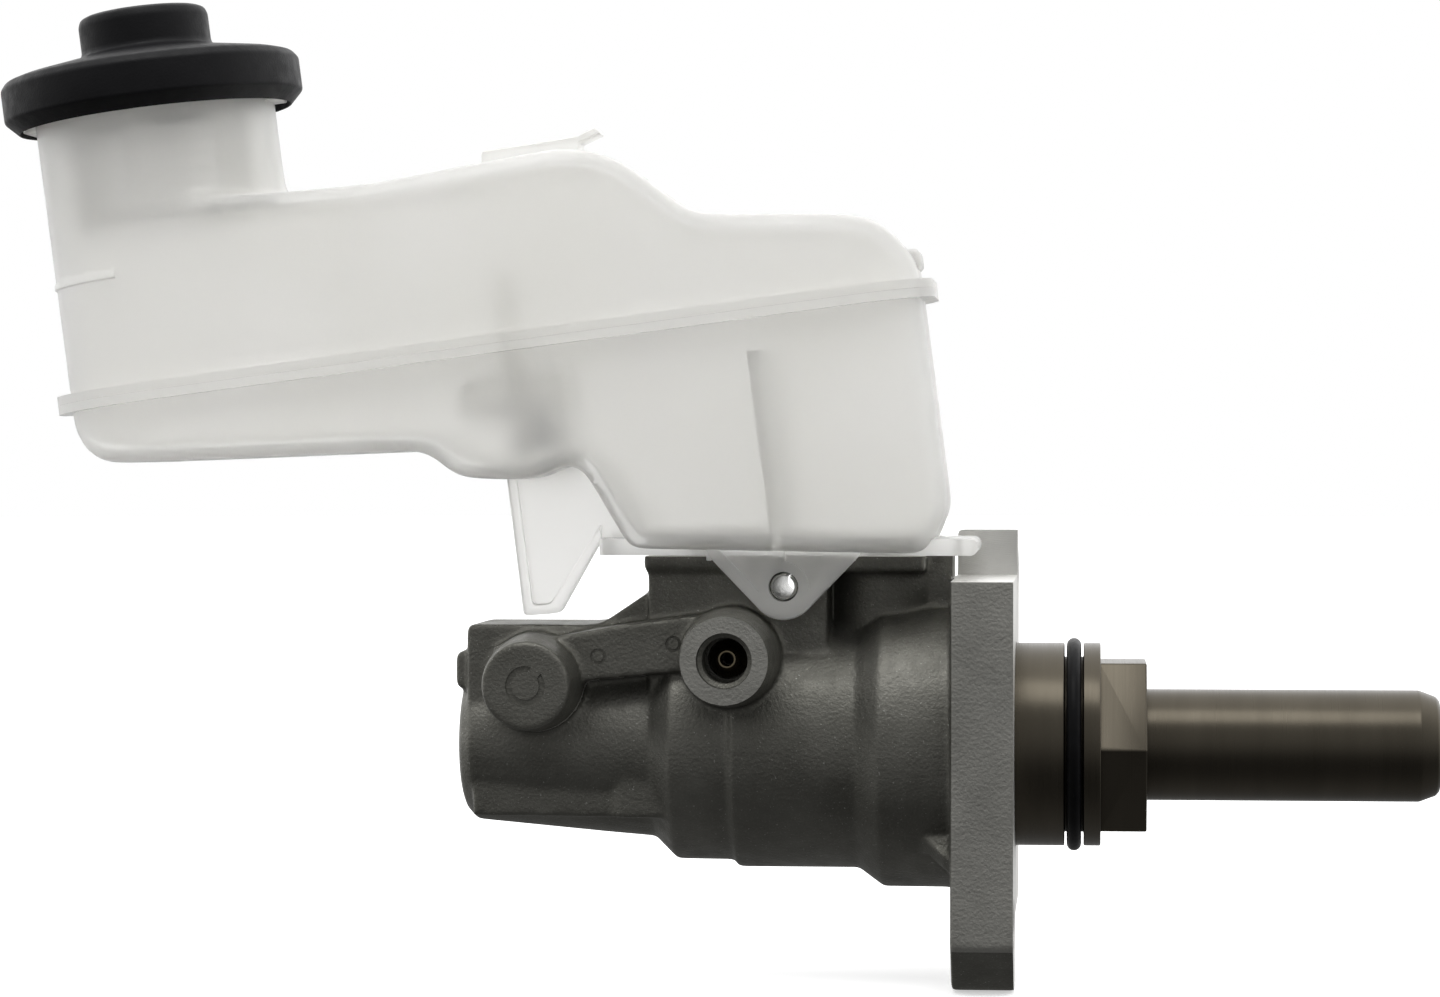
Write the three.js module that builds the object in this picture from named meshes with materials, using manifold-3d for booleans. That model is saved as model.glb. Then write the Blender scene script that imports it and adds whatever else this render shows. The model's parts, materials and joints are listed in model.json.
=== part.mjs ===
// Tandem brake master cylinder with its fluid reservoir, in millimetres, +Z up.
// Origin: the bore axis where it meets the booster mounting face. +X points out towards the booster.

import * as THREE from 'three';
import { mergeVertices } from 'three/addons/utils/BufferGeometryUtils.js';
import Module from 'manifold-3d';

const wasm = await Module();
wasm.setup();

// ---- Driving dimensions -------------------------------------------------------------------

const GAP = 0.3;                 // air kept between separate pieces that touch on the real object
const ROUND = 20;                // facets round a large turned surface
const SMALL_ROUND = 12;          // facets round a small turned surface

const PISTON_R = 11.11;          // seven eighths of an inch across
const BORE_R = 11.42;
const CUP_GROOVE_R = 16;
const CUP_INNER_R = 11.43;
const BODY_FRONT = -111;
const BORE_END = -105.3;
const COUNTERBORE_R = 17;
const COUNTERBORE_DEPTH = 18;
const SPIGOT_SEAT = { r: 20.6, depth: 1.2 };

const FLANGE_THICK = 12.2;
const FLANGE_HALF_WIDTH = 35.5;
const FLANGE_SHOULDER = 33.5;
const EAR_TOP = 42.6;
const EAR_BOTTOM = -46.5;
const EAR_INNER_Y = 16;
const STUD = { y: 25.5, z: 33.5, r: 5 };

const TOWER = { x0: -72.5, waist: -37, lipEnd: -17.9, x1: -11.5, halfWidth: 17, lip: 34.7, top: 37.9 };
const INLETS_X = [-62, -26];     // reservoir spouts: front circuit, rear circuit
const INLET_R = 8.2;
const INLET_BOSS_R = 11.3;
const INLET_FLOOR = 28.3;
const FEED_X = [-68, -20];
const PIN = { x: -45.3, z: 32.1, r: 2.6, innerR: 2.1, halfLength: 25 };

const REAR_PORT = { x: -55.9, z: 18.1, faceY: 36 };
const FRONT_PORT = { x: -95.2, z: 12.9, faceY: 32 };
const PORT_BOSS_R = 8.4;
const PORT_HOLE_R = 4.5;
const PORT_DEPTH = 13;

const SPIGOT_R = 20.3;
const SLEEVE_END = 26;
const HEX_APOTHEM = 16.7;
const HEX_START = 16.9;

const PRIMARY = { front: -30, rear: 84, hollowR: 9, hollowFloor: -8 };
const SECONDARY = { front: -89, rear: -46, hollowFloor: -66 };
const SPRING_R = 6.6;
const SPRING_WIRE_R = 0.9;

const TILT = THREE.MathUtils.degToRad(7.5);   // the reservoir leans back from the bore axis
const SEAM_HEIGHT = 54.8;                     // weld plane above the retaining pin
const WALL = 2.4;
const RESERVOIR_HALF_WIDTH = 27;
const SEAM_LIP = 2.7;
const SEAM_HALF_THICK = 1.8;
const NECK = { u: -116.5, r: 24.4, innerR: 22, top: 60 };
const CAP = { r: 30.4, rimLow: 55.6, rimHigh: 66.2, knobR: 13.2, top: 77.8 };
const FLOAT = { u: -50, low: -14, height: 8, r: 12 };
const SWITCH = { u: -50, v: -19.3, r: 3.4 };
const RAIL = { x0: -82, x1: -7.2, halfWidth: 20, bottom: 38.2, top: 41.4 };
const EAR_OUTER_Y = 22.5;
const EAR_PLATE_INNER_Y = 19.5;

// ---- Frames: where the local x, y and z of a shape point ----------------------------------

function frame(x, y, z, origin = [0, 0, 0]) {
  const matrix = new THREE.Matrix4();
  matrix.makeBasis(new THREE.Vector3(...x), new THREE.Vector3(...y), new THREE.Vector3(...z));
  matrix.setPosition(...origin);
  return matrix;
}

const REARWARD = frame([0, 1, 0], [0, 0, 1], [1, 0, 0]);
const SIDEWAYS = frame([1, 0, 0], [0, 0, 1], [0, -1, 0]);
const UPRIGHT = new THREE.Matrix4();
const UP_TILTED = [-Math.sin(TILT), 0, Math.cos(TILT)];
const RESERVOIR = new THREE.Matrix4().makeRotationY(-TILT).setPosition(
  PIN.x + UP_TILTED[0] * SEAM_HEIGHT, 0, PIN.z + UP_TILTED[2] * SEAM_HEIGHT);
const RESERVOIR_SIDE = RESERVOIR.clone().multiply(SIDEWAYS);

function nearPort(port) {
  return frame([1, 0, 0], [0, 0, 1], [0, -1, 0], [port.x, 0, port.z]);
}

function farPort(port) {
  return frame([-1, 0, 0], [0, 0, 1], [0, 1, 0], [port.x, 0, port.z]);
}

function upright(x) {
  return new THREE.Matrix4().makeTranslation(x, 0, 0);
}

function onReservoir(u, v = 0) {
  return RESERVOIR.clone().multiply(new THREE.Matrix4().makeTranslation(u, 0, v));
}

// ---- Solids -------------------------------------------------------------------------------

function signedVolume(position, index) {
  const [a, b, c] = [new THREE.Vector3(), new THREE.Vector3(), new THREE.Vector3()];
  let volume = 0;
  for (let i = 0; i < index.length; i += 3) {
    a.fromArray(position, index[i] * 3);
    b.fromArray(position, index[i + 1] * 3);
    c.fromArray(position, index[i + 2] * 3);
    volume += a.dot(b.cross(c));
  }
  return volume;
}

// Turns a closed geometry into a solid, dropping zero-size triangles and facing it outwards.
function toSolid(geometry) {
  const bare = geometry.clone();
  bare.deleteAttribute('normal');
  bare.deleteAttribute('uv');
  const merged = mergeVertices(bare, 1e-4);
  const position = merged.attributes.position.array;
  let index = [];
  for (let i = 0; i < merged.index.count; i += 3) {
    const [a, b, c] = [0, 1, 2].map((k) => merged.index.getX(i + k));
    if (a !== b && b !== c && c !== a) index.push(a, b, c);
  }
  if (signedVolume(position, index) < 0) index = index.reverse();
  return new wasm.Manifold(new wasm.Mesh({
    numProp: 3,
    vertProperties: new Float32Array(position),
    triVerts: new Uint32Array(index),
  }));
}

// Profile of [distance along the axis, radius] pairs, turned about the frame's z.
function turned(profile, matrix, facets = ROUND) {
  const points = profile.map(([z, r]) => new THREE.Vector2(r, z));
  const onAxis = profile[0][1] === 0 && profile.at(-1)[1] === 0;
  if (!onAxis) points.push(points[0].clone());
  const geometry = new THREE.LatheGeometry(points, facets);
  geometry.rotateX(Math.PI / 2);
  geometry.applyMatrix4(matrix);
  return toSolid(geometry);
}

function rod(z0, z1, r, matrix, facets = ROUND) {
  return turned([[z0, 0], [z0, r], [z1, r], [z1, 0]], matrix, facets);
}

function ring(z0, z1, inner, outer, matrix, facets = ROUND) {
  return turned([[z0, inner], [z0, outer], [z1, outer], [z1, inner]], matrix, facets);
}

function oRing(z, middle, section, matrix) {
  const profile = [];
  for (let i = 0; i < 6; i += 1) {
    const angle = (i * Math.PI) / 3;
    profile.push([z + section * Math.sin(angle), middle + section * Math.cos(angle)]);
  }
  return turned(profile, matrix);
}

// Outline from corners [x, y, radius]; a corner with a radius is rounded between its tangents.
function outline(corners) {
  const shape = new THREE.Shape();
  corners.forEach(([x, y, radius = 0], i) => {
    const corner = new THREE.Vector2(x, y);
    const before = new THREE.Vector2(...corners.at(i - 1).slice(0, 2));
    const after = new THREE.Vector2(...corners[(i + 1) % corners.length].slice(0, 2));
    const back = before.sub(corner).normalize();
    const ahead = after.sub(corner).normalize();
    const half = Math.acos(THREE.MathUtils.clamp(back.dot(ahead), -1, 1)) / 2;
    const reach = radius / Math.tan(half);
    const start = corner.clone().addScaledVector(back, reach);
    const end = corner.clone().addScaledVector(ahead, reach);
    if (i === 0) shape.moveTo(start.x, start.y);
    else shape.lineTo(start.x, start.y);
    if (radius > 0) shape.quadraticCurveTo(corner.x, corner.y, end.x, end.y);
  });
  shape.closePath();
  return shape;
}

function prism(corners, z0, z1, matrix, curveSegments = 3) {
  const geometry = new THREE.ExtrudeGeometry(outline(corners), {
    depth: z1 - z0, bevelEnabled: false, curveSegments,
  });
  geometry.translate(0, 0, z0);
  geometry.applyMatrix4(matrix);
  return toSolid(geometry);
}

function block(x0, x1, y0, y1, z0, z1, matrix = UPRIGHT) {
  const geometry = new THREE.BoxGeometry(x1 - x0, y1 - y0, z1 - z0);
  geometry.translate((x0 + x1) / 2, (y0 + y1) / 2, (z0 + z1) / 2);
  geometry.applyMatrix4(matrix);
  return toSolid(geometry);
}

function join(solids) {
  return solids.reduce((whole, piece) => whole.add(piece));
}

function cut(solid, tools) {
  return tools.reduce((left, tool) => left.subtract(tool), solid);
}

// Corners moved inwards by a distance, for the inside of a wall of even thickness.
function inset(corners, distance) {
  const area = corners.reduce((sum, [x, y], i) => {
    const [nextX, nextY] = corners[(i + 1) % corners.length];
    return sum + x * nextY - nextX * y;
  }, 0);
  const turn = Math.sign(area);
  return corners.map(([x, y, radius = 0], i) => {
    const [px, py] = corners.at(i - 1);
    const [nx, ny] = corners[(i + 1) % corners.length];
    const into = new THREE.Vector2(x - px, y - py).normalize();
    const out = new THREE.Vector2(nx - x, ny - y).normalize();
    const normalIn = new THREE.Vector2(-into.y, into.x).multiplyScalar(turn);
    const normalOut = new THREE.Vector2(-out.y, out.x).multiplyScalar(turn);
    const shift = normalIn.add(normalOut).normalize();
    const outward = new THREE.Vector2(-out.y, out.x).multiplyScalar(turn);
    const step = distance / shift.dot(outward);
    const convex = into.cross(out) * turn > 0;
    const inner = convex ? Math.max(radius - distance, 0) : radius + distance;
    return [x + shift.x * step, y + shift.y * step, radius > 0 ? inner : 0];
  });
}

// ---- Cylinder body ------------------------------------------------------------------------

function portBoss(matrix, faceY) {
  return turned([[0, 0], [0, 10.4], [faceY - 10, 9.4], [faceY - 1, PORT_BOSS_R + 0.3],
    [faceY, PORT_BOSS_R], [faceY, 0]], matrix);
}

function portHole(matrix, faceY) {
  return turned([[PISTON_R - 1, 0], [PISTON_R - 1, 1.2], [faceY - PORT_DEPTH, 1.2],
    [faceY - PORT_DEPTH, PORT_HOLE_R], [faceY - 1, PORT_HOLE_R], [faceY + 0.5, PORT_HOLE_R + 1.3],
    [faceY + 0.5, 0]], matrix, SMALL_ROUND);
}

function flange() {
  const plate = [
    [-FLANGE_HALF_WIDTH, FLANGE_SHOULDER, 2], [-FLANGE_HALF_WIDTH, EAR_BOTTOM + 9, 2],
    [-FLANGE_HALF_WIDTH + 9, EAR_BOTTOM, 2],
    [-EAR_INNER_Y, EAR_BOTTOM, 8], [-EAR_INNER_Y + 6, -FLANGE_SHOULDER, 6],
    [FLANGE_HALF_WIDTH, -FLANGE_SHOULDER, 8], [FLANGE_HALF_WIDTH, EAR_TOP, 8],
    [EAR_INNER_Y, EAR_TOP, 1], [EAR_INNER_Y, FLANGE_SHOULDER, 1],
  ];
  return prism(plate, -FLANGE_THICK, 0, REARWARD);
}

function cylinderBody() {
  const casting = turned([
    [BODY_FRONT, 0], [BODY_FRONT, 13], [BODY_FRONT + 2.4, 15.2], [-72.4, 18.75], [-67.8, 23.3],
    [-56.3, 23.5], [-55.5, 24.9], [-31.6, 24.9], [-26.6, 28.6], [-10, 28.6], [-10, 0],
  ], REARWARD, 28);
  const frontDeck = [[BODY_FRONT + 1.5, 8], [BODY_FRONT + 1.5, 24.2, 2], [-83, 24.2, 6],
    [-72, 31.5], [-71, 8]];
  const { x0, waist, lipEnd, x1, halfWidth, lip, top } = TOWER;
  const tower = join([block(x0, waist, -halfWidth, halfWidth, 5, top),
    block(waist - 1, lipEnd, -halfWidth, halfWidth, lip, top),
    rod(5, top, INLET_BOSS_R, upright(INLETS_X[1])), block(INLETS_X[1], x1, -8, 8, 5, top)]);
  const frontLug = block(BODY_FRONT - 1.2, -105, -14, 14, 10.5, 18);
  const gallery = [[FRONT_PORT.x, 10], [FRONT_PORT.x, 21.5], [REAR_PORT.x, 25.5], [REAR_PORT.x, 14]];
  const solids = [casting, tower, frontLug, flange(), prism(frontDeck, -13, 13, SIDEWAYS),
    prism(gallery, -25, 25, SIDEWAYS)];
  for (const port of [REAR_PORT, FRONT_PORT]) {
    solids.push(portBoss(nearPort(port), port.faceY));
    solids.push(portBoss(farPort(port), port.faceY));
  }
  const bore = turned([[BORE_END, 0], [BORE_END, 9.5], [BORE_END + 2, BORE_R], [-COUNTERBORE_DEPTH, BORE_R],
    [-COUNTERBORE_DEPTH, COUNTERBORE_R], [-SPIGOT_SEAT.depth, COUNTERBORE_R],
    [-SPIGOT_SEAT.depth, SPIGOT_SEAT.r], [1, SPIGOT_SEAT.r], [1, 0]], REARWARD);
  const tools = [bore, portHole(nearPort(REAR_PORT), REAR_PORT.faceY),
    portHole(farPort(FRONT_PORT), FRONT_PORT.faceY)];
  for (const [start, end] of [[-75, -71.2], [-65.2, -61.4], [-28.2, -24.4]]) {
    tools.push(rod(start, end, CUP_GROOVE_R, REARWARD));
  }
  INLETS_X.forEach((x, i) => {
    tools.push(rod(INLET_FLOOR, TOWER.top + 1, INLET_R, upright(x)));
    tools.push(rod(BORE_R - 2, INLET_FLOOR + 1, 1.4, upright(FEED_X[i]), SMALL_ROUND));
  });
  tools.push(rod(-40, 40, PIN.r + 0.35, nearPort(PIN), SMALL_ROUND));
  for (const side of [-1, 1]) {
    const stud = frame([0, 1, 0], [0, 0, 1], [1, 0, 0], [0, side * STUD.y, side * STUD.z]);
    tools.push(rod(-FLANGE_THICK - 20, 1, STUD.r, stud));
  }
  return cut(join(solids), tools);
}

// ---- Guide sleeve, seals and pistons ------------------------------------------------------

function guideSleeve() {
  const across = HEX_APOTHEM / Math.cos(Math.PI / 6);
  const hexagon = [];
  for (let i = 0; i < 6; i += 1) {
    const angle = (i * Math.PI) / 3;
    hexagon.push([across * Math.cos(angle), across * Math.sin(angle), 0]);
  }
  const sleeve = turned([
    [-COUNTERBORE_DEPTH + GAP, BORE_R], [-COUNTERBORE_DEPTH + GAP, COUNTERBORE_R - GAP],
    [-7.4, COUNTERBORE_R - GAP], [-7.4, 14.9], [-4.6, 14.9], [-4.6, COUNTERBORE_R - GAP],
    [GAP - SPIGOT_SEAT.depth, COUNTERBORE_R - GAP], [GAP - SPIGOT_SEAT.depth, SPIGOT_R],
    [9.7, SPIGOT_R], [9.7, 17.5], [13.5, 17.5],
    [13.5, SPIGOT_R], [HEX_START, SPIGOT_R], [HEX_START, 15], [SLEEVE_END, 15],
    [SLEEVE_END, BORE_R],
  ], REARWARD);
  const nut = prism(hexagon, HEX_START - 1, SLEEVE_END, REARWARD);
  const seatForCup = ring(-14.2, -10.4, BORE_R - 1, 14.6, REARWARD);
  return cut(sleeve.add(nut), [rod(-20, SLEEVE_END + 1, BORE_R, REARWARD), seatForCup]);
}

// A lip seal: a ring with a groove between its two lips. The open side faces the pressure.
function lipSeal(x0, x1, outer) {
  const middle = (CUP_INNER_R + outer) / 2;
  return turned([
    [x0, CUP_INNER_R], [x0, middle - 0.5], [x0 + 1.8, middle], [x0, middle + 0.5], [x0, outer],
    [x1, outer], [x1, CUP_INNER_R],
  ], REARWARD, 16);
}

function primaryPiston() {
  return turned([
    [61, 0], [61, 0.8], [62, 3.2], [66, 5.2], [PRIMARY.rear, 5.6], [PRIMARY.rear, 9.2],
    [83.3, 9.9], [80, PISTON_R], [PRIMARY.front + 0.8, PISTON_R],
    [PRIMARY.front, PISTON_R - 0.6], [PRIMARY.front, PRIMARY.hollowR],
    [PRIMARY.hollowFloor, PRIMARY.hollowR], [PRIMARY.hollowFloor, 2.2], [-3.6, 2.2], [-3.6, 0],
  ], REARWARD);
}

function secondaryPiston() {
  const hollowR = 9;
  return turned([
    [SECONDARY.hollowFloor, 0], [SECONDARY.hollowFloor, hollowR], [SECONDARY.front, hollowR],
    [SECONDARY.front, PISTON_R - 0.6], [SECONDARY.front + 0.8, PISTON_R],
    [SECONDARY.rear - 0.8, PISTON_R], [SECONDARY.rear, PISTON_R - 0.6], [SECONDARY.rear, 0],
  ], REARWARD);
}

class Helix extends THREE.Curve {
  constructor(start, end, turns) {
    super();
    Object.assign(this, { start, end, turns });
  }

  getPoint(t, target = new THREE.Vector3()) {
    const angle = 2 * Math.PI * this.turns * t;
    const x = THREE.MathUtils.lerp(this.start, this.end, t);
    return target.set(x, SPRING_R * Math.cos(angle), SPRING_R * Math.sin(angle));
  }
}

function spring(start, end, turns) {
  const wire = new THREE.Shape().absarc(0, 0, SPRING_WIRE_R, 0, 2 * Math.PI);
  const geometry = new THREE.ExtrudeGeometry(wire, {
    steps: turns * 8,
    curveSegments: 3,
    extrudePath: new Helix(start + SPRING_WIRE_R, end - SPRING_WIRE_R, turns),
  });
  return toSolid(geometry);
}

function springRetainer() {
  const front = SECONDARY.rear + GAP;
  return turned([
    [front, 0], [front, 8.5], [front + 1.1, 8.5], [front + 1.1, 4.5], [-24, 4.5], [-24, 2.2],
    [-25, 2.2], [-25, 3.4], [front + 1.4, 3.4], [front + 1.4, 0],
  ], REARWARD, SMALL_ROUND);
}

function retainerBolt() {
  return turned([[-27.5, 0], [-27.5, 3], [-25.4, 3], [-25.4, 1.85], [-4, 1.85], [-4, 0]],
    REARWARD, SMALL_ROUND);
}

function tubeSeat(matrix, faceY) {
  const floor = faceY - PORT_DEPTH + GAP;
  return turned([[floor, 1.2], [floor, 4.1], [floor + 2, 4.1], [floor + 5.5, 1.75],
    [floor + 5.5, 1.2]], matrix, SMALL_ROUND);
}

// ---- Reservoir ----------------------------------------------------------------------------

// Side outlines in the tilted frame: u along the weld, v above it.
const UPPER_SIDE = [
  [-141.2, -6], [-141.2, 29.5], [-25.3, 36.6, 20], [-8.2, 20, 9], [27.6, 15.2, 10],
  [33.9, 6, 4], [33.9, -6],
];
const LOWER_SIDE = [
  [-141.2, 6], [-140.2, -12.3, 11], [-66.5, -19, 6], [-61, -25.3, 6], [-46, -27.6, 8],
  [-36, -25, 3], [-28.6, -44], [28.9, -52, 2], [34.6, -42, 6], [33.9, 6],
];
const PLAN = [
  [NECK.u, -NECK.r - 0.1, 0], [-78, -NECK.r - 0.1, 12], [-66, -RESERVOIR_HALF_WIDTH, 12],
  [33.9, -RESERVOIR_HALF_WIDTH, 15], [33.9, RESERVOIR_HALF_WIDTH, 15],
  [-66, RESERVOIR_HALF_WIDTH, 12], [-78, NECK.r + 0.1, 12], [NECK.u, NECK.r + 0.1, 0],
];

function plan(v0, v1, distance) {
  const end = rod(v0, v1, NECK.r - distance, onReservoir(NECK.u));
  return prism(inset(PLAN, distance), v0, v1, RESERVOIR).add(end);
}

function chamber(side, distance) {
  const slab = prism(inset(side, distance), -40, 40, RESERVOIR_SIDE);
  return slab.intersect(plan(-60, 50, distance));
}

const wholeOutside = chamber(UPPER_SIDE, 0).add(chamber(LOWER_SIDE, 0));
const wholeInside = chamber(UPPER_SIDE, WALL).add(chamber(LOWER_SIDE, WALL));

function half(v0, v1) {
  return block(-200, 100, -60, 60, v0, v1, RESERVOIR);
}

function clip() {
  const arm = [[-107.6, 119], [-88, 122.1], [-84.8, 123.6], [-84, 122.4], [-87.6, 120.6],
    [-103.4, 118], [-103.4, 114], [-107.6, 113]];
  return prism(arm, -5, 5, SIDEWAYS);
}

function reservoirUpper() {
  const seamLip = plan(GAP / 2, SEAM_HALF_THICK, -SEAM_LIP);
  const neck = rod(20, NECK.top, NECK.r, onReservoir(NECK.u));
  const bore = rod(10, NECK.top + 1, NECK.innerR, onReservoir(NECK.u));
  const shell = join([wholeOutside, seamLip, neck, clip()]).subtract(wholeInside);
  return cut(shell, [bore]).intersect(half(GAP / 2, 90));
}

function bracketEar(y0, y1) {
  const ear = [[-60.4, 41], [-60.4, 38], [PIN.x, 22.6, 6.6], [-30.2, 38], [-30.2, 41]];
  return prism(ear, y0, y1, SIDEWAYS);
}

function gusset() {
  const plate = [[-101.6, 55.5], [-98, 26, 1], [-91, 26.6, 2], [-82.6, 41.3], [-74, 41.3],
    [-78, 56]];
  return prism(plate, 8.6, 11, SIDEWAYS);
}

function reservoirLower() {
  const seamLip = plan(-SEAM_HALF_THICK, -GAP / 2, -SEAM_LIP);
  const clearX = -FLANGE_THICK - 0.7;
  const clearY = EAR_INNER_Y - 0.6;
  const railPlan = [[RAIL.x0, -RAIL.halfWidth, 1], [RAIL.x1, -RAIL.halfWidth, 4],
    [RAIL.x1, clearY, 2], [clearX, clearY], [clearX, RAIL.halfWidth], [RAIL.x0, RAIL.halfWidth, 1]];
  const rail = prism(railPlan, RAIL.bottom, RAIL.top, UPRIGHT);
  const shell = wholeOutside.subtract(wholeInside).intersect(half(-70, -GAP / 2));
  const belowRail = block(-90, 0, -40, 40, 20, RAIL.bottom);
  const slab = rail.subtract(block(-200, 100, -60, 60, -44, 20, RESERVOIR).intersect(wholeInside));
  const baffle = block(-1, 1, -RESERVOIR_HALF_WIDTH + 1, RESERVOIR_HALF_WIDTH - 1, -47, -8, RESERVOIR);
  const guidePost = rod(-26, 15, 2, onReservoir(FLOAT.u), SMALL_ROUND);
  const pieces = [shell.subtract(belowRail), seamLip.subtract(wholeInside), slab, baffle,
    guidePost, gusset().subtract(wholeInside),
    bracketEar(EAR_PLATE_INNER_Y, EAR_OUTER_Y), bracketEar(-EAR_OUTER_Y, -EAR_PLATE_INNER_Y)];
  for (const x of INLETS_X) pieces.push(rod(30.5, 40, 5.2, upright(x), SMALL_ROUND));
  const tools = INLETS_X.map((x) => rod(29, 46, 3.4, upright(x), SMALL_ROUND));
  tools.push(rod(-40, 40, PIN.r + 0.35, nearPort(PIN), SMALL_ROUND));
  const switchHole = RESERVOIR.clone().multiply(frame([-1, 0, 0], [0, 0, 1], [0, 1, 0],
    [SWITCH.u, 0, SWITCH.v]));
  tools.push(rod(20, 40, SWITCH.r + 0.4, switchHole, SMALL_ROUND));
  return cut(join(pieces), tools);
}

function levelSwitch() {
  const along = RESERVOIR.clone().multiply(frame([-1, 0, 0], [0, 0, 1], [0, 1, 0],
    [SWITCH.u, 0, SWITCH.v]));
  const outside = RESERVOIR_HALF_WIDTH + GAP;
  return turned([[4, 0], [4, SWITCH.r - 0.8], [5, SWITCH.r], [outside, SWITCH.r], [outside, 6],
    [outside + 3, 6], [outside + 3, 4.6], [outside + 12, 4.6], [outside + 12, 3.4],
    [outside + 5, 3.4], [outside + 5, 0]], along, SMALL_ROUND);
}

function levelFloat() {
  const body = turned([[FLOAT.low, 2.6], [FLOAT.low, FLOAT.r - 1], [FLOAT.low + 1, FLOAT.r],
    [FLOAT.low + FLOAT.height - 1, FLOAT.r], [FLOAT.low + FLOAT.height, FLOAT.r - 1],
    [FLOAT.low + FLOAT.height, 2.6]], onReservoir(FLOAT.u), 16);
  return body.subtract(ring(FLOAT.low - 1, FLOAT.low + 2.6, 3.6, 7, onReservoir(FLOAT.u), 16));
}

function strainer() {
  const [outer, inner] = [18.4, 17.4];
  const rim = NECK.top + GAP;
  const basket = turned([[34, 0], [34, outer], [rim, outer], [rim, NECK.r - 0.4],
    [rim + 0.9, NECK.r - 0.4], [rim + 0.9, inner], [35.2, inner], [35.2, 0]],
  onReservoir(NECK.u));
  const windows = [];
  for (let i = 0; i < 6; i += 1) {
    const spin = new THREE.Matrix4().makeRotationZ((i * Math.PI) / 3);
    windows.push(block(14, 20, -4, 4, 38, 54, onReservoir(NECK.u).multiply(spin)));
  }
  return cut(basket, windows);
}

function capDiaphragm() {
  return turned([
    [57, 0], [57, 6], [54, 7], [54, 11], [61.5, 12.5], [61.5, 24], [63, 24], [63, 11.5],
    [55, 10], [55, 8], [58, 7], [58, 0],
  ], onReservoir(NECK.u), 16);
}

function fillerCap() {
  return turned([
    [CAP.top, 0], [CAP.top, CAP.knobR - 1.2], [CAP.top - 1.2, CAP.knobR], [70.9, CAP.knobR],
    [69.9, 14.2], [CAP.rimHigh, 29.2], [CAP.rimHigh - 1, CAP.r], [CAP.rimLow + 2.4, CAP.r],
    [CAP.rimLow, CAP.r - 2.8], [CAP.rimLow, NECK.r + 1.1], [63.4, NECK.r + 1.1], [63.4, 11.6],
    [CAP.top - 2, 11.6], [CAP.top - 2, 0],
  ], onReservoir(NECK.u), 28);
}

function grommet(x) {
  return turned([[INLET_FLOOR + GAP, 5.5], [INLET_FLOOR + GAP, 7.3], [30, 7.9], [36.8, 7.9],
    [TOWER.top - GAP, 7.4], [TOWER.top - GAP, 5.5]], upright(x), 16);
}

function retainingPin() {
  const tube = ring(-PIN.halfLength, PIN.halfLength, PIN.innerR, PIN.r, nearPort(PIN), SMALL_ROUND);
  return tube.subtract(block(PIN.x, PIN.x + 4, -40, 40, PIN.z + 0.6, PIN.z + 1.5));
}

// ---- Assembly -----------------------------------------------------------------------------

const FINISHES = {
  cast: { color: 0x5c5a54, roughness: 0.6, metalness: 0.8 },
  anodised: { color: 0x57503f, roughness: 0.35, metalness: 0.8 },
  steel: { color: 0x8d8d88, roughness: 0.35, metalness: 1 },
  milky: { color: 0xdcdcd2, roughness: 0.4, metalness: 0 },
  black: { color: 0x28282a, roughness: 0.5, metalness: 0 },
  rubber: { color: 0x1b1a1c, roughness: 0.7, metalness: 0 },
  brass: { color: 0xa08648, roughness: 0.4, metalness: 1 },
  magnet: { color: 0x3a3a3c, roughness: 0.6, metalness: 0.5 },
};

const assembly = new THREE.Group();
assembly.name = 'brake_master_cylinder';

function part(name, solid, finish) {
  const data = solid.getMesh();
  const geometry = new THREE.BufferGeometry();
  geometry.setAttribute('position', new THREE.BufferAttribute(new Float32Array(data.vertProperties), 3));
  geometry.setIndex(new THREE.BufferAttribute(new Uint32Array(data.triVerts), 1));
  geometry.computeVertexNormals();
  const mesh = new THREE.Mesh(geometry, new THREE.MeshStandardMaterial(FINISHES[finish]));
  mesh.name = name;
  assembly.add(mesh);
}

part('cylinder_body', cylinderBody(), 'cast');
part('guide_sleeve', guideSleeve(), 'anodised');
part('spigot_oring', oRing(11.6, 19.85, 1.45, REARWARD), 'rubber');
part('sleeve_oring', oRing(-6, 15.95, 0.7, REARWARD), 'rubber');
part('primary_recuperating_cup', lipSeal(-13.9, -10.7, 14.3), 'rubber');
part('primary_pressure_cup', lipSeal(-27.9, -24.7, 15.6), 'rubber');
part('secondary_recuperating_cup', lipSeal(-64.9, -61.7, 15.6), 'rubber');
part('secondary_pressure_cup', lipSeal(-74.7, -71.5, 15.6), 'rubber');
part('primary_piston', primaryPiston(), 'anodised');
part('secondary_piston', secondaryPiston(), 'anodised');
part('spring_retainer', springRetainer(), 'steel');
part('retainer_bolt', retainerBolt(), 'steel');
part('primary_spring', spring(SECONDARY.rear + GAP + 1.4, PRIMARY.hollowFloor - GAP, 7), 'steel');
part('secondary_spring', spring(BORE_END + GAP, SECONDARY.hollowFloor - GAP, 8), 'steel');
part('primary_tube_seat', tubeSeat(nearPort(REAR_PORT), REAR_PORT.faceY), 'brass');
part('secondary_tube_seat', tubeSeat(farPort(FRONT_PORT), FRONT_PORT.faceY), 'brass');
part('front_grommet', grommet(INLETS_X[0]), 'rubber');
part('rear_grommet', grommet(INLETS_X[1]), 'rubber');
part('reservoir_lower', reservoirLower(), 'milky');
part('reservoir_upper', reservoirUpper(), 'milky');
part('retaining_pin', retainingPin(), 'steel');
part('level_switch', levelSwitch(), 'black');
part('level_float', levelFloat(), 'milky');
part('float_magnet', ring(FLOAT.low + GAP, FLOAT.low + 2.3, 3.9, 6.7, onReservoir(FLOAT.u), 16), 'magnet');
part('strainer', strainer(), 'milky');
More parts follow.
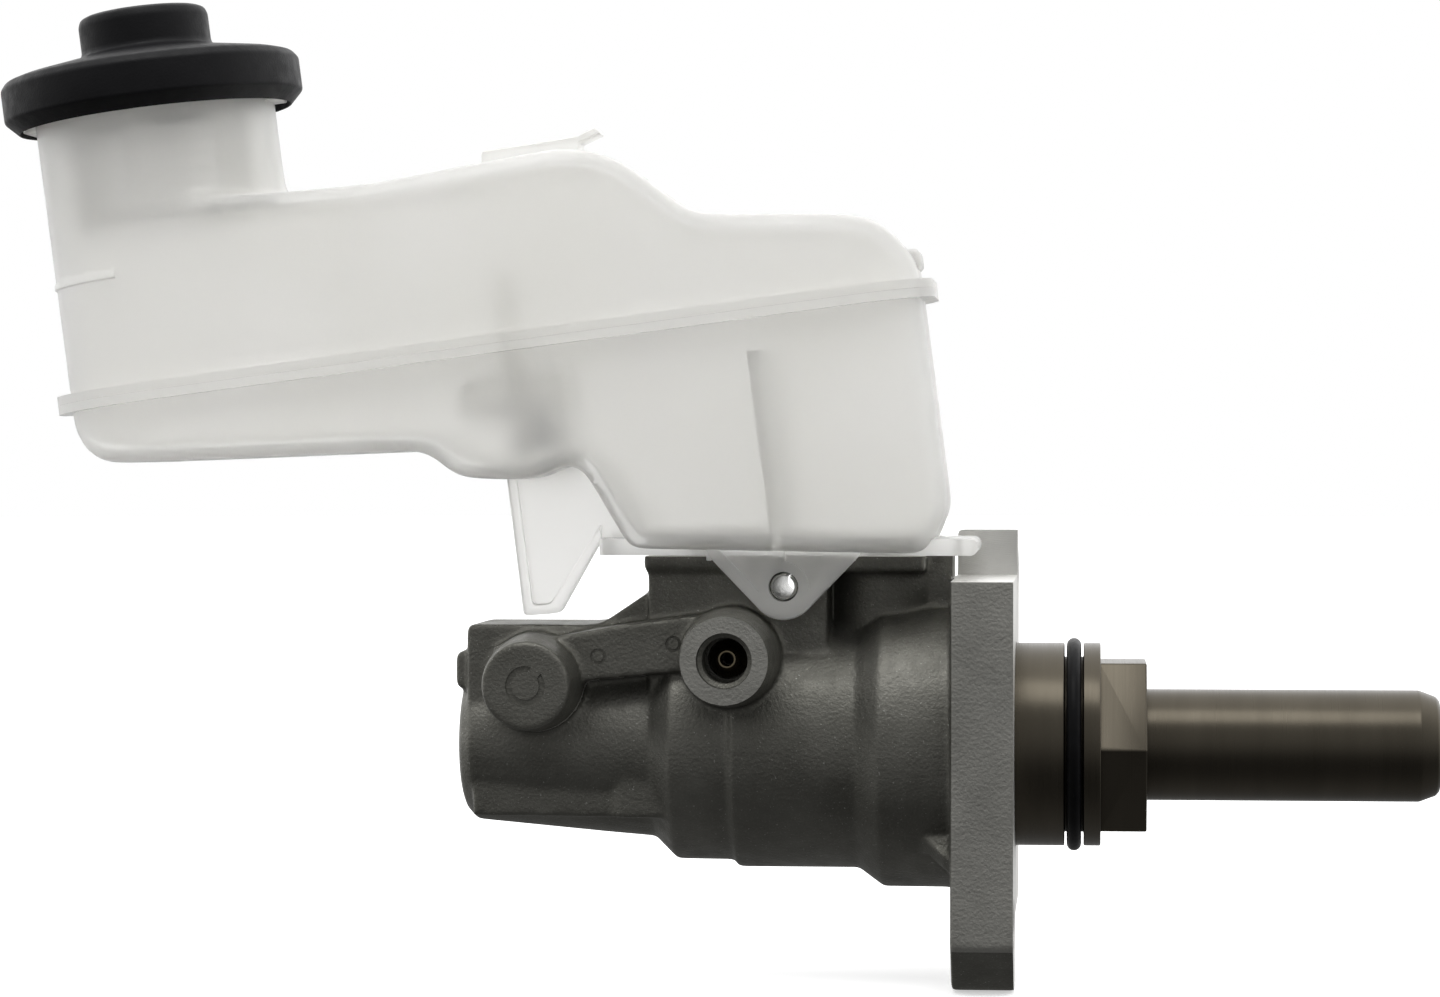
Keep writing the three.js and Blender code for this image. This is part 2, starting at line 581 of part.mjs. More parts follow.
part('cap_diaphragm', capDiaphragm(), 'rubber');
part('filler_cap', fillerCap(), 'black');

export default assembly;
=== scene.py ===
"""Looks for the tandem brake master cylinder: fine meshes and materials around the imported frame."""
import json
import math

import bmesh
import bpy
from mathutils import Matrix, Vector


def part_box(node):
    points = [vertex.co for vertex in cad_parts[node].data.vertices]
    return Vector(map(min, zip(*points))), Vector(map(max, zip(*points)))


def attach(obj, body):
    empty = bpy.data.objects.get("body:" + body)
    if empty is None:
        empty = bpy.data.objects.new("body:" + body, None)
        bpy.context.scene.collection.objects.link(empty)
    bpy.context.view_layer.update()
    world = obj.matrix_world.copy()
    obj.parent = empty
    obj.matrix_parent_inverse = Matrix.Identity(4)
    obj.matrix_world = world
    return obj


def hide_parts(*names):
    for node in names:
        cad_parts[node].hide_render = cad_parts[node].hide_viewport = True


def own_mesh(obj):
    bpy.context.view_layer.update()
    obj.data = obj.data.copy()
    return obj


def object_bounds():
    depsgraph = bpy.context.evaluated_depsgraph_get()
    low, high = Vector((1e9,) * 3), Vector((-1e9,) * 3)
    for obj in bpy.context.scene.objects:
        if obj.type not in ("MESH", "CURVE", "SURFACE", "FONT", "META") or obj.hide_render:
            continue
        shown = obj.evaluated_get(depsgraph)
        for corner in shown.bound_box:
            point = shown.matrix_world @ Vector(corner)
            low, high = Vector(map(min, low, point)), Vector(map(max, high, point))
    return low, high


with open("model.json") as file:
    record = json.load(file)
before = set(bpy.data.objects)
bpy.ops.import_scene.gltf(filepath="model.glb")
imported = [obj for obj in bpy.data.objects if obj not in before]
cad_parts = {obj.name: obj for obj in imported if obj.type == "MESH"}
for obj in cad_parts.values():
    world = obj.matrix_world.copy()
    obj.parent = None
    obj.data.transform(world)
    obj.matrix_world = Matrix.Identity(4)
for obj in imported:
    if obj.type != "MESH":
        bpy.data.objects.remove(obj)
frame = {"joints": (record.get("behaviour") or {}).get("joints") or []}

CAD_LOW, CAD_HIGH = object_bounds()
MM = 0.001
TURN = 2 * math.pi
ARC_STEP = 0.12         # angle between the points of a rounded corner, in radians

# ---- Frames ----
# Shapes are drawn in millimetres in a local frame, then placed by one of these matrices.


def basis(x, y, z, origin=(0, 0, 0)):
    """Matrix whose local axes point along x, y and z, with its origin in millimetres."""
    columns = [Vector(v).to_4d() for v in (x, y, z)]
    for column in columns:
        column.w = 0
    return Matrix((*columns, Vector((*origin, 1)))).transposed()


JOINTS = {joint["name"]: joint for joint in frame["joints"]}
CAP_AXIS = Vector(JOINTS["cap_turn"]["axis"]).normalized()
CAP_CENTRE = Vector(JOINTS["cap_turn"]["pos_m"]) / MM
NECK_U, NECK_TOP = -116.5, 60.0       # where the cap joint's point lies in the reservoir frame
ALONG_WELD = Vector((CAP_AXIS.z, 0, -CAP_AXIS.x))
WELD_ORIGIN = CAP_CENTRE - ALONG_WELD * NECK_U - CAP_AXIS * NECK_TOP

WORLD = Matrix.Identity(4)
REARWARD = basis((0, 1, 0), (0, 0, 1), (1, 0, 0))
SIDEWAYS = basis((1, 0, 0), (0, 0, 1), (0, -1, 0))
RESERVOIR = basis(ALONG_WELD, (0, 1, 0), CAP_AXIS, WELD_ORIGIN)
RESERVOIR_SIDE = RESERVOIR @ SIDEWAYS
NECK = RESERVOIR @ Matrix.Translation((NECK_U, 0, 0))


def facing_near(x, z):
    """Frame whose z axis points out of the near side of the body, at x and z."""
    return basis((1, 0, 0), (0, 0, 1), (0, -1, 0), (x, 0, z))


def facing_far(x, z):
    """The same, out of the far side."""
    return basis((-1, 0, 0), (0, 0, 1), (0, 1, 0), (x, 0, z))


def upright(x):
    """Frame whose z axis points up, at x on the middle plane."""
    return Matrix.Translation((x, 0, 0))


# ---- Sizes taken from the frame, in millimetres ----


def node_box(node):
    low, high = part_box(node)
    return low / MM, high / MM


BODY_LOW, BODY_HIGH = node_box("cylinder_body")
PIN_LOW, PIN_HIGH = node_box("retaining_pin")
PISTON_LOW, PISTON_HIGH = node_box("primary_piston")
SLEEVE_LOW, SLEEVE_HIGH = node_box("guide_sleeve")
NEAR_SEAT_LOW, NEAR_SEAT_HIGH = node_box("primary_tube_seat")
FAR_SEAT_LOW, FAR_SEAT_HIGH = node_box("secondary_tube_seat")
GROMMET_X = [sum(box.x for box in node_box(name)) / 2 for name in ("front_grommet", "rear_grommet")]

PIN_X = (PIN_LOW.x + PIN_HIGH.x) / 2
PIN_Z = (PIN_LOW.z + PIN_HIGH.z) / 2
REAR_PORT = ((NEAR_SEAT_LOW.x + NEAR_SEAT_HIGH.x) / 2, (NEAR_SEAT_LOW.z + NEAR_SEAT_HIGH.z) / 2)
FRONT_PORT = ((FAR_SEAT_LOW.x + FAR_SEAT_HIGH.x) / 2, (FAR_SEAT_LOW.z + FAR_SEAT_HIGH.z) / 2)
REAR_FACE_Y = BODY_HIGH.y
FRONT_FACE_Y = 32.0
PISTON_R = (PISTON_HIGH.y - PISTON_LOW.y) / 2
PISTON_REAR = PISTON_HIGH.x
SPIGOT_R = (SLEEVE_HIGH.y - SLEEVE_LOW.y) / 2
SLEEVE_END = SLEEVE_HIGH.x
BORE_R = 11.42
PIN_HOLE_R = 2.95
INLET_R = 8.2
TOWER_TOP = 37.9
FLANGE_THICK = 12.2
FLANGE_Y = 35.5
FLANGE_SHOULDER = 33.5
EAR_INNER_Y = 16.0
EAR_TOP, EAR_BOTTOM = BODY_HIGH.z, BODY_LOW.z
STUD_Y, STUD_Z, STUD_R = 25.5, 33.5, 5.0

# ---- Mesh building ----


def new_object(name, bm):
    """Makes an object from a bmesh drawn in millimetres."""
    bmesh.ops.recalc_face_normals(bm, faces=bm.faces)
    bmesh.ops.scale(bm, vec=(MM, MM, MM), verts=bm.verts)
    mesh = bpy.data.meshes.new(name)
    bm.to_mesh(mesh)
    bm.free()
    obj = bpy.data.objects.new(name, mesh)
    bpy.context.scene.collection.objects.link(obj)
    return obj


def rounded(corners):
    """Outline through corners (x, y, radius), each rounded by a true arc of its radius."""
    points = []
    for i, corner in enumerate(corners):
        here = Vector(corner[:2])
        radius = corner[2] if len(corner) > 2 else 0
        if radius <= 0:
            points.append(here)
            continue
        back = (Vector(corners[i - 1][:2]) - here).normalized()
        ahead = (Vector(corners[(i + 1) % len(corners)][:2]) - here).normalized()
        half = math.acos(max(-1, min(1, back.dot(ahead)))) / 2
        start = here + back * radius / math.tan(half)
        centre = here + (back + ahead).normalized() * radius / math.sin(half)
        sweep = math.pi - 2 * half
        side = -1 if back.cross(ahead) > 0 else 1
        steps = max(2, round(sweep / ARC_STEP))
        spoke = start - centre
        for k in range(steps + 1):
            turn = Matrix.Rotation(side * sweep * k / steps, 2)
            points.append(centre + turn @ spoke)
    return points


def add_prism(bm, corners, low, high, matrix):
    """Raises an outline from low to high along the local z axis."""
    outline = rounded(corners)
    rings = [[bm.verts.new(matrix @ Vector((p.x, p.y, z))) for p in outline] for z in (low, high)]
    bm.faces.new(rings[0])
    bm.faces.new(list(reversed(rings[1])))
    for i in range(len(outline)):
        k = (i + 1) % len(outline)
        bm.faces.new((rings[0][i], rings[1][i], rings[1][k], rings[0][k]))


def add_lathe(bm, profile, matrix, steps=96):
    """Revolves (distance along z, radius) pairs. A profile off the axis closes on itself."""
    rings = []
    for z, r in profile:
        if r == 0:
            rings.append([bm.verts.new(matrix @ Vector((0, 0, z)))])
            continue
        rings.append([
            bm.verts.new(matrix @ Vector((r * math.cos(TURN * i / steps),
                                          r * math.sin(TURN * i / steps), z)))
            for i in range(steps)
        ])
    closed = profile[0][1] != 0 or profile[-1][1] != 0
    pairs = list(zip(rings, rings[1:] + rings[:1])) if closed else list(zip(rings, rings[1:]))
    for low, high in pairs:
        for i in range(steps):
            k = (i + 1) % steps
            if len(low) == 1 and len(high) == 1:
                continue
            if len(low) == 1:
                bm.faces.new((low[0], high[i], high[k]))
            elif len(high) == 1:
                bm.faces.new((low[i], high[0], low[k]))
            else:
                bm.faces.new((low[i], high[i], high[k], low[k]))


def add_block(bm, low, high, matrix=WORLD):
    corners = [(low[0], low[1]), (high[0], low[1]), (high[0], high[1]), (low[0], high[1])]
    add_prism(bm, corners, low[2], high[2], matrix)


def prism(name, corners, low, high, matrix):
    bm = bmesh.new()
    add_prism(bm, corners, low, high, matrix)
    return new_object(name, bm)


def lathe(name, profile, matrix, steps=96):
    bm = bmesh.new()
    add_lathe(bm, profile, matrix, steps)
    return new_object(name, bm)


def block(name, low, high, matrix=WORLD):
    bm = bmesh.new()
    add_block(bm, low, high, matrix)
    return new_object(name, bm)


def rod(name, low, high, radius, matrix, steps=64):
    return lathe(name, [(low, 0), (low, radius), (high, radius), (high, 0)], matrix, steps)


def bake(obj):
    """Applies the modifiers of an object to its mesh."""
    graph = bpy.context.evaluated_depsgraph_get()
    mesh = bpy.data.meshes.new_from_object(obj.evaluated_get(graph))
    obj.modifiers.clear()
    old = obj.data
    obj.data = mesh
    bpy.data.meshes.remove(old)
    return obj


def combine(target, tools, operation):
    """Joins, cuts or intersects closed meshes. The tools are used up."""
    for tool in tools:
        modifier = target.modifiers.new("cut", "BOOLEAN")
        modifier.operation = operation
        modifier.object = tool
        modifier.solver = "MANIFOLD"
    bake(target)
    for tool in tools:
        bpy.data.objects.remove(tool)
    return target


def join(target, *tools):
    return combine(target, tools, "UNION")


def cut(target, *tools):
    return combine(target, tools, "DIFFERENCE")


def keep_inside(target, *tools):
    return combine(target, tools, "INTERSECT")


def melt(obj, voxel, rounds):
    """Fuses overlapping solids into one skin and rounds its edges, as a casting or moulding is."""
    remesh = obj.modifiers.new("skin", "REMESH")
    remesh.mode = "VOXEL"
    remesh.voxel_size = voxel * MM
    remesh.adaptivity = 0
    smooth = obj.modifiers.new("round", "SMOOTH")
    smooth.factor = 0.5
    smooth.iterations = rounds
    return bake(obj)


def bevel(obj, width, segments=3, angle=30):
    """Rounds every edge where the surface turns by more than the angle, in degrees."""
    modifier = obj.modifiers.new("bevel", "BEVEL")
    modifier.width = width * MM
    modifier.segments = segments
    modifier.limit_method = "ANGLE"
    modifier.angle_limit = math.radians(angle)
    return bake(obj)


def shade(obj, angle):
    """Smooth shading with crisp edges wherever the surface turns by more than the angle."""
    mesh = obj.data
    mesh.polygons.foreach_set("use_smooth", [True] * len(mesh.polygons))
    mesh.set_sharp_from_angle(angle=math.radians(angle))
    mesh.update()
    return obj


def clone(obj, name):
    """Copy of an object with a mesh of its own."""
    copy = obj.copy()
    copy.data = obj.data.copy()
    copy.name = name
    bpy.context.scene.collection.objects.link(copy)
    return copy


def finish_piece(obj, body, slot, node, angle=32):
    """Gives a piece the paints of its record slot, smooth shading and its body, and hides the CAD node
    that it stands for.
    """
    mesh = obj.data
    mesh.materials.clear()
    for paint in PAINTS[slot]:
        mesh.materials.append(paint)
    shade(obj, angle)
    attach(obj, body)
    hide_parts(node)
    return obj


# ---- Materials ----


class Paint:
    """A material under construction: small helpers round its node tree."""

    def __init__(self, name, **sockets):
        self.material = bpy.data.materials.new(name)
        self.material.use_nodes = True
        self.tree = self.material.node_tree
        self.shader = self.tree.nodes["Principled BSDF"]
        for label, value in sockets.items():
            self.shader.inputs[label.replace("_", " ")].default_value = value
        self.place = self.node("ShaderNodeTexCoord").outputs["Object"]
        self.normal = None

    def node(self, kind, **settings):
        made = self.tree.nodes.new(kind)
        for key, value in settings.items():
            setattr(made, key, value)
        return made

    def link(self, source, target):
        self.tree.links.new(source, target)

    def stretched(self, scale):
        mapping = self.node("ShaderNodeMapping")
        mapping.inputs["Scale"].default_value = scale
        self.link(self.place, mapping.inputs["Vector"])
        return mapping.outputs["Vector"]

    def noise(self, scale, detail=3, roughness=0.55, place=None):
        made = self.node("ShaderNodeTexNoise")
        made.inputs["Scale"].default_value = scale
        made.inputs["Detail"].default_value = detail
        made.inputs["Roughness"].default_value = roughness
        self.link(place or self.place, made.inputs["Vector"])
        return made.outputs["Fac"]

    def ramp(self, value, low, high, to_low=0.0, to_high=1.0):
        made = self.node("ShaderNodeMapRange")
        made.inputs["From Min"].default_value = low
        made.inputs["From Max"].default_value = high
        made.inputs["To Min"].default_value = to_low
        made.inputs["To Max"].default_value = to_high
        self.link(value, made.inputs["Value"])
        return made.outputs["Result"]

    def mixed(self, factor, first, second):
        made = self.node("ShaderNodeMix", data_type="RGBA")
        self.link(factor, made.inputs["Factor"])
        for socket, colour in (("A", first), ("B", second)):
            target = [s for s in made.inputs if s.name == socket and s.type == "RGBA"][0]
            if isinstance(colour, tuple):
                target.default_value = (*colour, 1)
            else:
                self.link(colour, target)
        return [s for s in made.outputs if s.type == "RGBA"][0]

    def colour(self, source):
        self.link(source, self.shader.inputs["Base Color"])
        return self

    def roughness(self, source):
        self.link(source, self.shader.inputs["Roughness"])
        return self

    def mottled(self, scale, detail, first, second):
        """Colour that drifts between two tones."""
        return self.colour(self.mixed(self.ramp(self.noise(scale, detail), 0.3, 0.7), first, second))

    def rough(self, scale, low, high):
        """Roughness that drifts between two values."""
        return self.roughness(self.ramp(self.noise(scale), 0.3, 0.7, low, high))

    def bump(self, height, distance, strength=1.0):
        made = self.node("ShaderNodeBump")
        made.inputs["Distance"].default_value = distance
        made.inputs["Strength"].default_value = strength
        self.link(height, made.inputs["Height"])
        if self.normal:
            self.link(self.normal, made.inputs["Normal"])
        self.normal = made.outputs["Normal"]
        self.link(self.normal, self.shader.inputs["Normal"])
        return self


def cast_aluminium(name, dark, pale):
    """Sand-textured die casting: dull grey, mottled, with sparse bright grains."""
    paint = Paint(name, Metallic=0.75, Specular_IOR_Level=0.3)
    broad = paint.ramp(paint.noise(55, 5), 0.3, 0.7)
    fine = paint.ramp(paint.noise(2600, 2), 0.60, 0.80, 0, 0.45)
    grains = paint.ramp(paint.noise(1900, 1), 0.715, 0.78, 0, 0.6)
    tone = paint.mixed(broad, dark, pale)
    speckled = paint.mixed(fine, tone, (0.36, 0.355, 0.335))
    paint.colour(paint.mixed(grains, speckled, (0.50, 0.50, 0.47)))
    paint.rough(300, 0.42, 0.56)
    paint.bump(paint.noise(1500, 3), 0.00016)
    paint.bump(paint.noise(160, 3), 0.0006, 0.18)
    return paint.material


def machined_aluminium():
    """Faced with a cutter: brighter, with fine arcs of tool marks."""
    paint = Paint("machined_aluminium", Metallic=0.9)
    marks = paint.node("ShaderNodeTexWave", wave_type="RINGS", rings_direction="SPHERICAL")
    marks.inputs["Scale"].default_value = 900
    marks.inputs["Distortion"].default_value = 1.5
    paint.link(paint.place, marks.inputs["Vector"])
    paint.mottled(60, 4, (0.70, 0.695, 0.665), (0.82, 0.815, 0.79))
    paint.rough(700, 0.38, 0.5)
    paint.bump(marks.outputs["Fac"], 0.00003, 0.6)
    return paint.material


def hard_anodised():
    """Turned and hard anodised: brown-grey, satin, with faint rings left by the lathe."""
    paint = Paint("hard_anodised", Metallic=0.9, Specular_IOR_Level=0.3)
    rings = paint.noise(1.0, 3, 0.6, paint.stretched((5200, 30, 30)))
    streaks = paint.noise(1.0, 3, 0.5, paint.stretched((160, 25, 25)))
    tone = paint.ramp(streaks, 0.25, 0.75)
    paint.colour(paint.mixed(tone, (0.072, 0.063, 0.048), (0.094, 0.083, 0.064)))
    paint.roughness(paint.ramp(rings, 0.3, 0.7, 0.27, 0.34))
    paint.bump(rings, 0.000008, 0.5)
    return paint.material


def black_rubber():
    paint = Paint("black_rubber", IOR=1.5, Specular_IOR_Level=0.08)
    paint.mottled(250, 4, (0.004, 0.004, 0.0045), (0.008, 0.008, 0.009))
    paint.rough(900, 0.30, 0.45)
    paint.bump(paint.noise(3000, 2), 0.00002)
    return paint.material


def milky_plastic():
    """Natural polypropylene: light goes into it, scatters and comes out again."""
    paint = Paint("milky_plastic", IOR=1.3, Specular_IOR_Level=0.3, Transmission_Weight=0.67)
    paint.mottled(28, 3, (0.955, 0.95, 0.925), (0.985, 0.98, 0.965))
    paint.rough(120, 0.30, 0.40)
    paint.bump(paint.noise(180, 3), 0.0002, 0.2)
    paint.bump(paint.noise(2400, 2), 0.00003, 0.5)
    return paint.material


def black_plastic():
    """Moulded nylon with a fine spark-eroded grain."""
    paint = Paint("black_plastic", IOR=1.5, Specular_IOR_Level=0.16)
    paint.mottled(80, 4, (0.006, 0.006, 0.007), (0.0105, 0.0105, 0.012))
    paint.rough(400, 0.40, 0.55)
    paint.bump(paint.noise(2200, 3), 0.00005)
    return paint.material


def bright_steel():
    paint = Paint("bright_steel", Metallic=1.0)
    paint.mottled(300, 4, (0.42, 0.42, 0.40), (0.58, 0.58, 0.56))
    paint.rough(900, 0.22, 0.38)
    paint.bump(paint.noise(1.0, 3, 0.6, paint.stretched((2500, 400, 400))), 0.00002)
    return paint.material


def turned_brass():
    paint = Paint("turned_brass", Metallic=1.0)
    paint.mottled(400, 4, (0.24, 0.20, 0.13), (0.34, 0.29, 0.20))
    paint.rough(900, 0.25, 0.4)
    paint.bump(paint.noise(1.0, 3, 0.6, paint.stretched((300, 4000, 300))), 0.00002)
    return paint.material


def sintered_magnet():
    paint = Paint("sintered_magnet", Metallic=0.4)
    paint.mottled(1800, 2, (0.035, 0.035, 0.037), (0.09, 0.09, 0.092))
    paint.rough(900, 0.5, 0.7)
    paint.bump(paint.noise(2600, 2), 0.00006)
    return paint.material


# Paints of each slot of the record. The body has three: as cast, machined, and a paler copy of the cast
# paint that paints light onto faces turned sideways.
PAINTS = {
    "cast_aluminium": [
        cast_aluminium("cast_aluminium", (0.124, 0.122, 0.106), (0.198, 0.195, 0.174)),
        machined_aluminium(),
        # paler copy of the cast paint: painted light on faces turned sideways
        cast_aluminium("cast_aluminium_painted_lit", (0.310, 0.306, 0.282), (0.430, 0.424, 0.392)),
    ],
    "anodised_aluminium": [hard_anodised()],
    "rubber": [black_rubber()],
    "translucent_plastic": [milky_plastic()],
    "black_plastic": [black_plastic()],
    "spring_steel": [bright_steel()],
    "brass": [turned_brass()],
    "magnet": [sintered_magnet()],
}

# ---- Camera, light and floor ----

CAMERA_PLACE = Vector((0.0137, -0.856, 0.0588))     # metres
CAMERA_TARGET = Vector((-0.0597, 0, 0.0492))
LENS, SENSOR = 106.35, 36.0
FLOOR_DROP = 0.0004     # metres between the lowest CAD face and the floor
FLOOR_R = 6000          # millimetres


def add_camera():
    data = bpy.data.cameras.new("camera")
    data.lens = LENS
    data.sensor_width = SENSOR
    data.clip_start = 0.01
    data.clip_end = 50
    camera = bpy.data.objects.new("camera", data)
    camera.location = CAMERA_PLACE
    camera.rotation_euler = (CAMERA_TARGET - CAMERA_PLACE).to_track_quat("-Z", "Y").to_euler()
    bpy.context.scene.collection.objects.link(camera)
    bpy.context.scene.camera = camera


def add_area_light(name, place, target, size_x, size_y, power):
    data = bpy.data.lights.new(name, "AREA")
    data.shape = "RECTANGLE"
    data.size = size_x
    data.size_y = size_y
    data.energy = power
    light = bpy.data.objects.new(name, data)
    light.location = place
    light.rotation_euler = (Vector(target) - Vector(place)).to_track_quat("-Z", "Y").to_euler()
    light.visible_camera = False
    bpy.context.scene.collection.objects.link(light)


def add_world():
    """Studio with a bright sweep behind the part, and darkness below and behind the camera."""
    world = bpy.data.worlds.new("studio")
    world.use_nodes = True
    bpy.context.scene.world = world
    tree = world.node_tree
    background = tree.nodes["Background"]
    output = tree.nodes["World Output"]
    split = tree.nodes.new("ShaderNodeSeparateXYZ")
    place = tree.nodes.new("ShaderNodeTexCoord")
    tree.links.new(place.outputs["Generated"], split.inputs["Vector"])

    def along(axis, dark_at, bright_at, dark, bright):
        """Strength that grows from dark to bright along one axis of the sky."""
        ramp = tree.nodes.new("ShaderNodeMapRange")
        ramp.interpolation_type = "SMOOTHSTEP"
        ramp.inputs["From Min"].default_value = dark_at
        ramp.inputs["From Max"].default_value = bright_at
        ramp.inputs["To Min"].default_value = dark
        ramp.inputs["To Max"].default_value = bright
        tree.links.new(split.outputs[axis], ramp.inputs["Value"])
        return ramp.outputs["Result"]

    product = tree.nodes.new("ShaderNodeMath")
    product.operation = "MULTIPLY"
    tree.links.new(along("Y", -0.8, 0.3, 0.46, 1.52), product.inputs[0])
    tree.links.new(along("Z", -0.5, 0.35, 0.15, 1.0), product.inputs[1])
    tree.links.new(product.outputs[0], background.inputs["Strength"])
    backdrop = tree.nodes.new("ShaderNodeBackground")
    rays = tree.nodes.new("ShaderNodeLightPath")
    mix = tree.nodes.new("ShaderNodeMixShader")
    tree.links.new(rays.outputs["Is Camera Ray"], mix.inputs[0])
    tree.links.new(background.outputs[0], mix.inputs[1])
    tree.links.new(backdrop.outputs[0], mix.inputs[2])
    tree.links.new(mix.outputs[0], output.inputs["Surface"])
    background.inputs["Color"].default_value = (1, 1, 1, 1)
    backdrop.inputs["Color"].default_value = (1, 1, 1, 1)


def add_floor():
    """Pale light table: it glows softly and keeps its own light off the part."""
    bm = bmesh.new()
    bmesh.ops.create_circle(bm, cap_ends=True, segments=96, radius=FLOOR_R)
    floor = new_object("floor", bm)
    floor.location.z = CAD_LOW.z - FLOOR_DROP
    floor.visible_diffuse = False
    floor.visible_glossy = False
    paint = Paint("pale_floor", Roughness=0.9, Emission_Strength=0.5)
    paint.shader.inputs["Emission Color"].default_value = (1, 1, 1, 1)
    paint.shader.inputs["Specular IOR Level"].default_value = 0.1
    paint.mottled(3, 3, (0.93, 0.93, 0.93), (0.955, 0.955, 0.955))
    floor.data.materials.append(paint.material)


add_camera()
add_world()
add_floor()
add_area_light("top_softbox", (-0.1, -0.3, 0.7), (-0.05, 0, 0.02), 0.7, 0.35, 2.2)
bpy.context.scene.view_settings.view_transform = "Standard"

# ---- Cylinder body ----
# Outlines are lists of corners in millimetres. A third number rounds that corner.

SUPPLY_FEED_X = (-68, -20)                  # small drillings under the two inlets
BOSS_R = 8.6
FACING_STOCK = 0.6                          # metal that the casting has above each machined face
PORT_DEPTH, PORT_PASSAGE_R, PORT_SEAT_R, PORT_MOUTH_R = 13, 1.2, 4.0, 5.45
THREAD_ROOT_R, THREAD_CREST_R, THREAD_PITCH = 4.95, 4.5, 1.0
CUP_GROOVES = ((-75, -71.2), (-65.2, -61.4), (-28.2, -24.4))
CUP_GROOVE_R = 16
EJECTOR_MARKS = ((-82.1, 18.2), (-67.2, 20.7))
GALLERY_Y = 20.5
FAR_AWAY = 200

BARREL = [
    (-111.4, 0), (-111.4, 11), (-110.6, 13.6), (-108.6, 15.8), (-82.3, 18.2), (-72.4, 19.0),
    (-67.9, 23.5), (-56.4, 23.6), (-55.5, 25.0), (-31.4, 25.0), (-26.4, 28.7), (-8, 28.8), (-8, 0),
]
DECK = [(-109.4, 6), (-109.4, 24.2, 1.5), (-82.6, 24.2, 8), (-72.5, 31), (-70, 31), (-70, 6)]
GALLERY = [
    (-103, 11), (-103, 20), (-92, 21.8, 9), (-78, 24.4, 9), (-64, 26.2, 9), (-54, 27.5), (-54, 16),
    (-66, 15.2, 9), (-90, 12.8, 9),
]
FRONT_LUG = [(-111.9, 11.2, 1.5), (-111.9, 18.4, 1.5), (-104, 20.4), (-104, 10.6)]
FLANK = [(-108, 15), (-76, 17.7), (-66, 18), (-66, -18), (-76, -17.7), (-108, -15)]
FLANK_POCKET = [
    (-108, 14.4), (-98, 14.8), (-80.4, 16), (-77.6, 17.6), (-66, 18), (-66, -18), (-77.6, -17.6),
    (-80.4, -16), (-98, -14.8), (-108, -14.4),
]
FLANGE = [
    (-FLANGE_Y, FLANGE_SHOULDER + FACING_STOCK), (-FLANGE_Y, EAR_BOTTOM + 9, 1.5),
    (-FLANGE_Y + 9, EAR_BOTTOM, 3), (-EAR_INNER_Y, EAR_BOTTOM, 6),
    (-EAR_INNER_Y + 6, -FLANGE_SHOULDER, 8), (FLANGE_Y, -FLANGE_SHOULDER, 8),
    (FLANGE_Y, EAR_TOP - 9, 1.5), (FLANGE_Y - 9, EAR_TOP, 3), (EAR_INNER_Y - FACING_STOCK, EAR_TOP),
    (EAR_INNER_Y - FACING_STOCK, FLANGE_SHOULDER + FACING_STOCK, 0.5),
]


def boss(face_y):
    """Drafted round boss, drawn outwards from the bore axis."""
    return [(0, 0), (0, BOSS_R + 1.8), (face_y - 13, BOSS_R + 1.2), (face_y - 4, BOSS_R + 0.5),
            (face_y, BOSS_R), (face_y, 0)]


def add_saddle(bm):
    """Block, lips and boss that carry the reservoir, up to the machined top."""
    top = TOWER_TOP + FACING_STOCK
    add_block(bm, (-72.6, -16.4, 4), (-37, 16.4, top))       # front block, with the pin hole
    add_block(bm, (-73.4, -17.4, 35.2), (-37, 17.4, top))    # its lip
    add_block(bm, (-38, -15.4, 34.8), (-17.6, 15.4, top))    # lip over the rear inlet
    add_block(bm, (GROMMET_X[1], -8, 4), (-11, 8, top))      # web from the rear inlet to the flange
    add_lathe(bm, [(4, 0), (4, 11.6), (top, 11.6), (top, 0)], upright(GROMMET_X[1]), 64)


def add_side_bosses(bm):
    """Two bosses on each side. One of each pair is left blank."""
    for matrix, face_y in (
        (facing_near(*REAR_PORT), REAR_FACE_Y + FACING_STOCK),
        (facing_far(*REAR_PORT), REAR_FACE_Y - 2),
        (facing_near(*FRONT_PORT), FRONT_FACE_Y),
        (facing_far(*FRONT_PORT), FRONT_FACE_Y + FACING_STOCK),
    ):
        add_lathe(bm, boss(face_y), matrix, 64)


def add_flange_webs(bm):
    """Small webs in the corner between the barrel and the flange."""
    web = [(-20.5, 0), (-12, 0), (-12, 9), (-13.4, 8.5)]
    for side in (-1, 1):
        place = basis((1, 0, 0), (0, 0.7 * side, -0.714), (0, 0.714 * side, 0.7), (0, 20 * side, -16))
        add_prism(bm, web, -2.2, 2.2, place)


def rough_casting():
    bm = bmesh.new()
    add_lathe(bm, BARREL, REARWARD, 128)
    add_prism(bm, DECK, -13.5, 13.5, SIDEWAYS)
    add_prism(bm, GALLERY, -GALLERY_Y, GALLERY_Y, SIDEWAYS)
    add_prism(bm, FLANGE, -FLANGE_THICK, FACING_STOCK, REARWARD)
    add_prism(bm, FRONT_LUG, -11.5, 11.5, SIDEWAYS)
    add_prism(bm, FLANK, -6, -1, WORLD)
    add_prism(bm, FLANK_POCKET, -14, -5.5, WORLD)
    add_saddle(bm)
    add_side_bosses(bm)
    add_flange_webs(bm)
    return melt(new_object("cylinder_casting", bm), 0.5, 14)


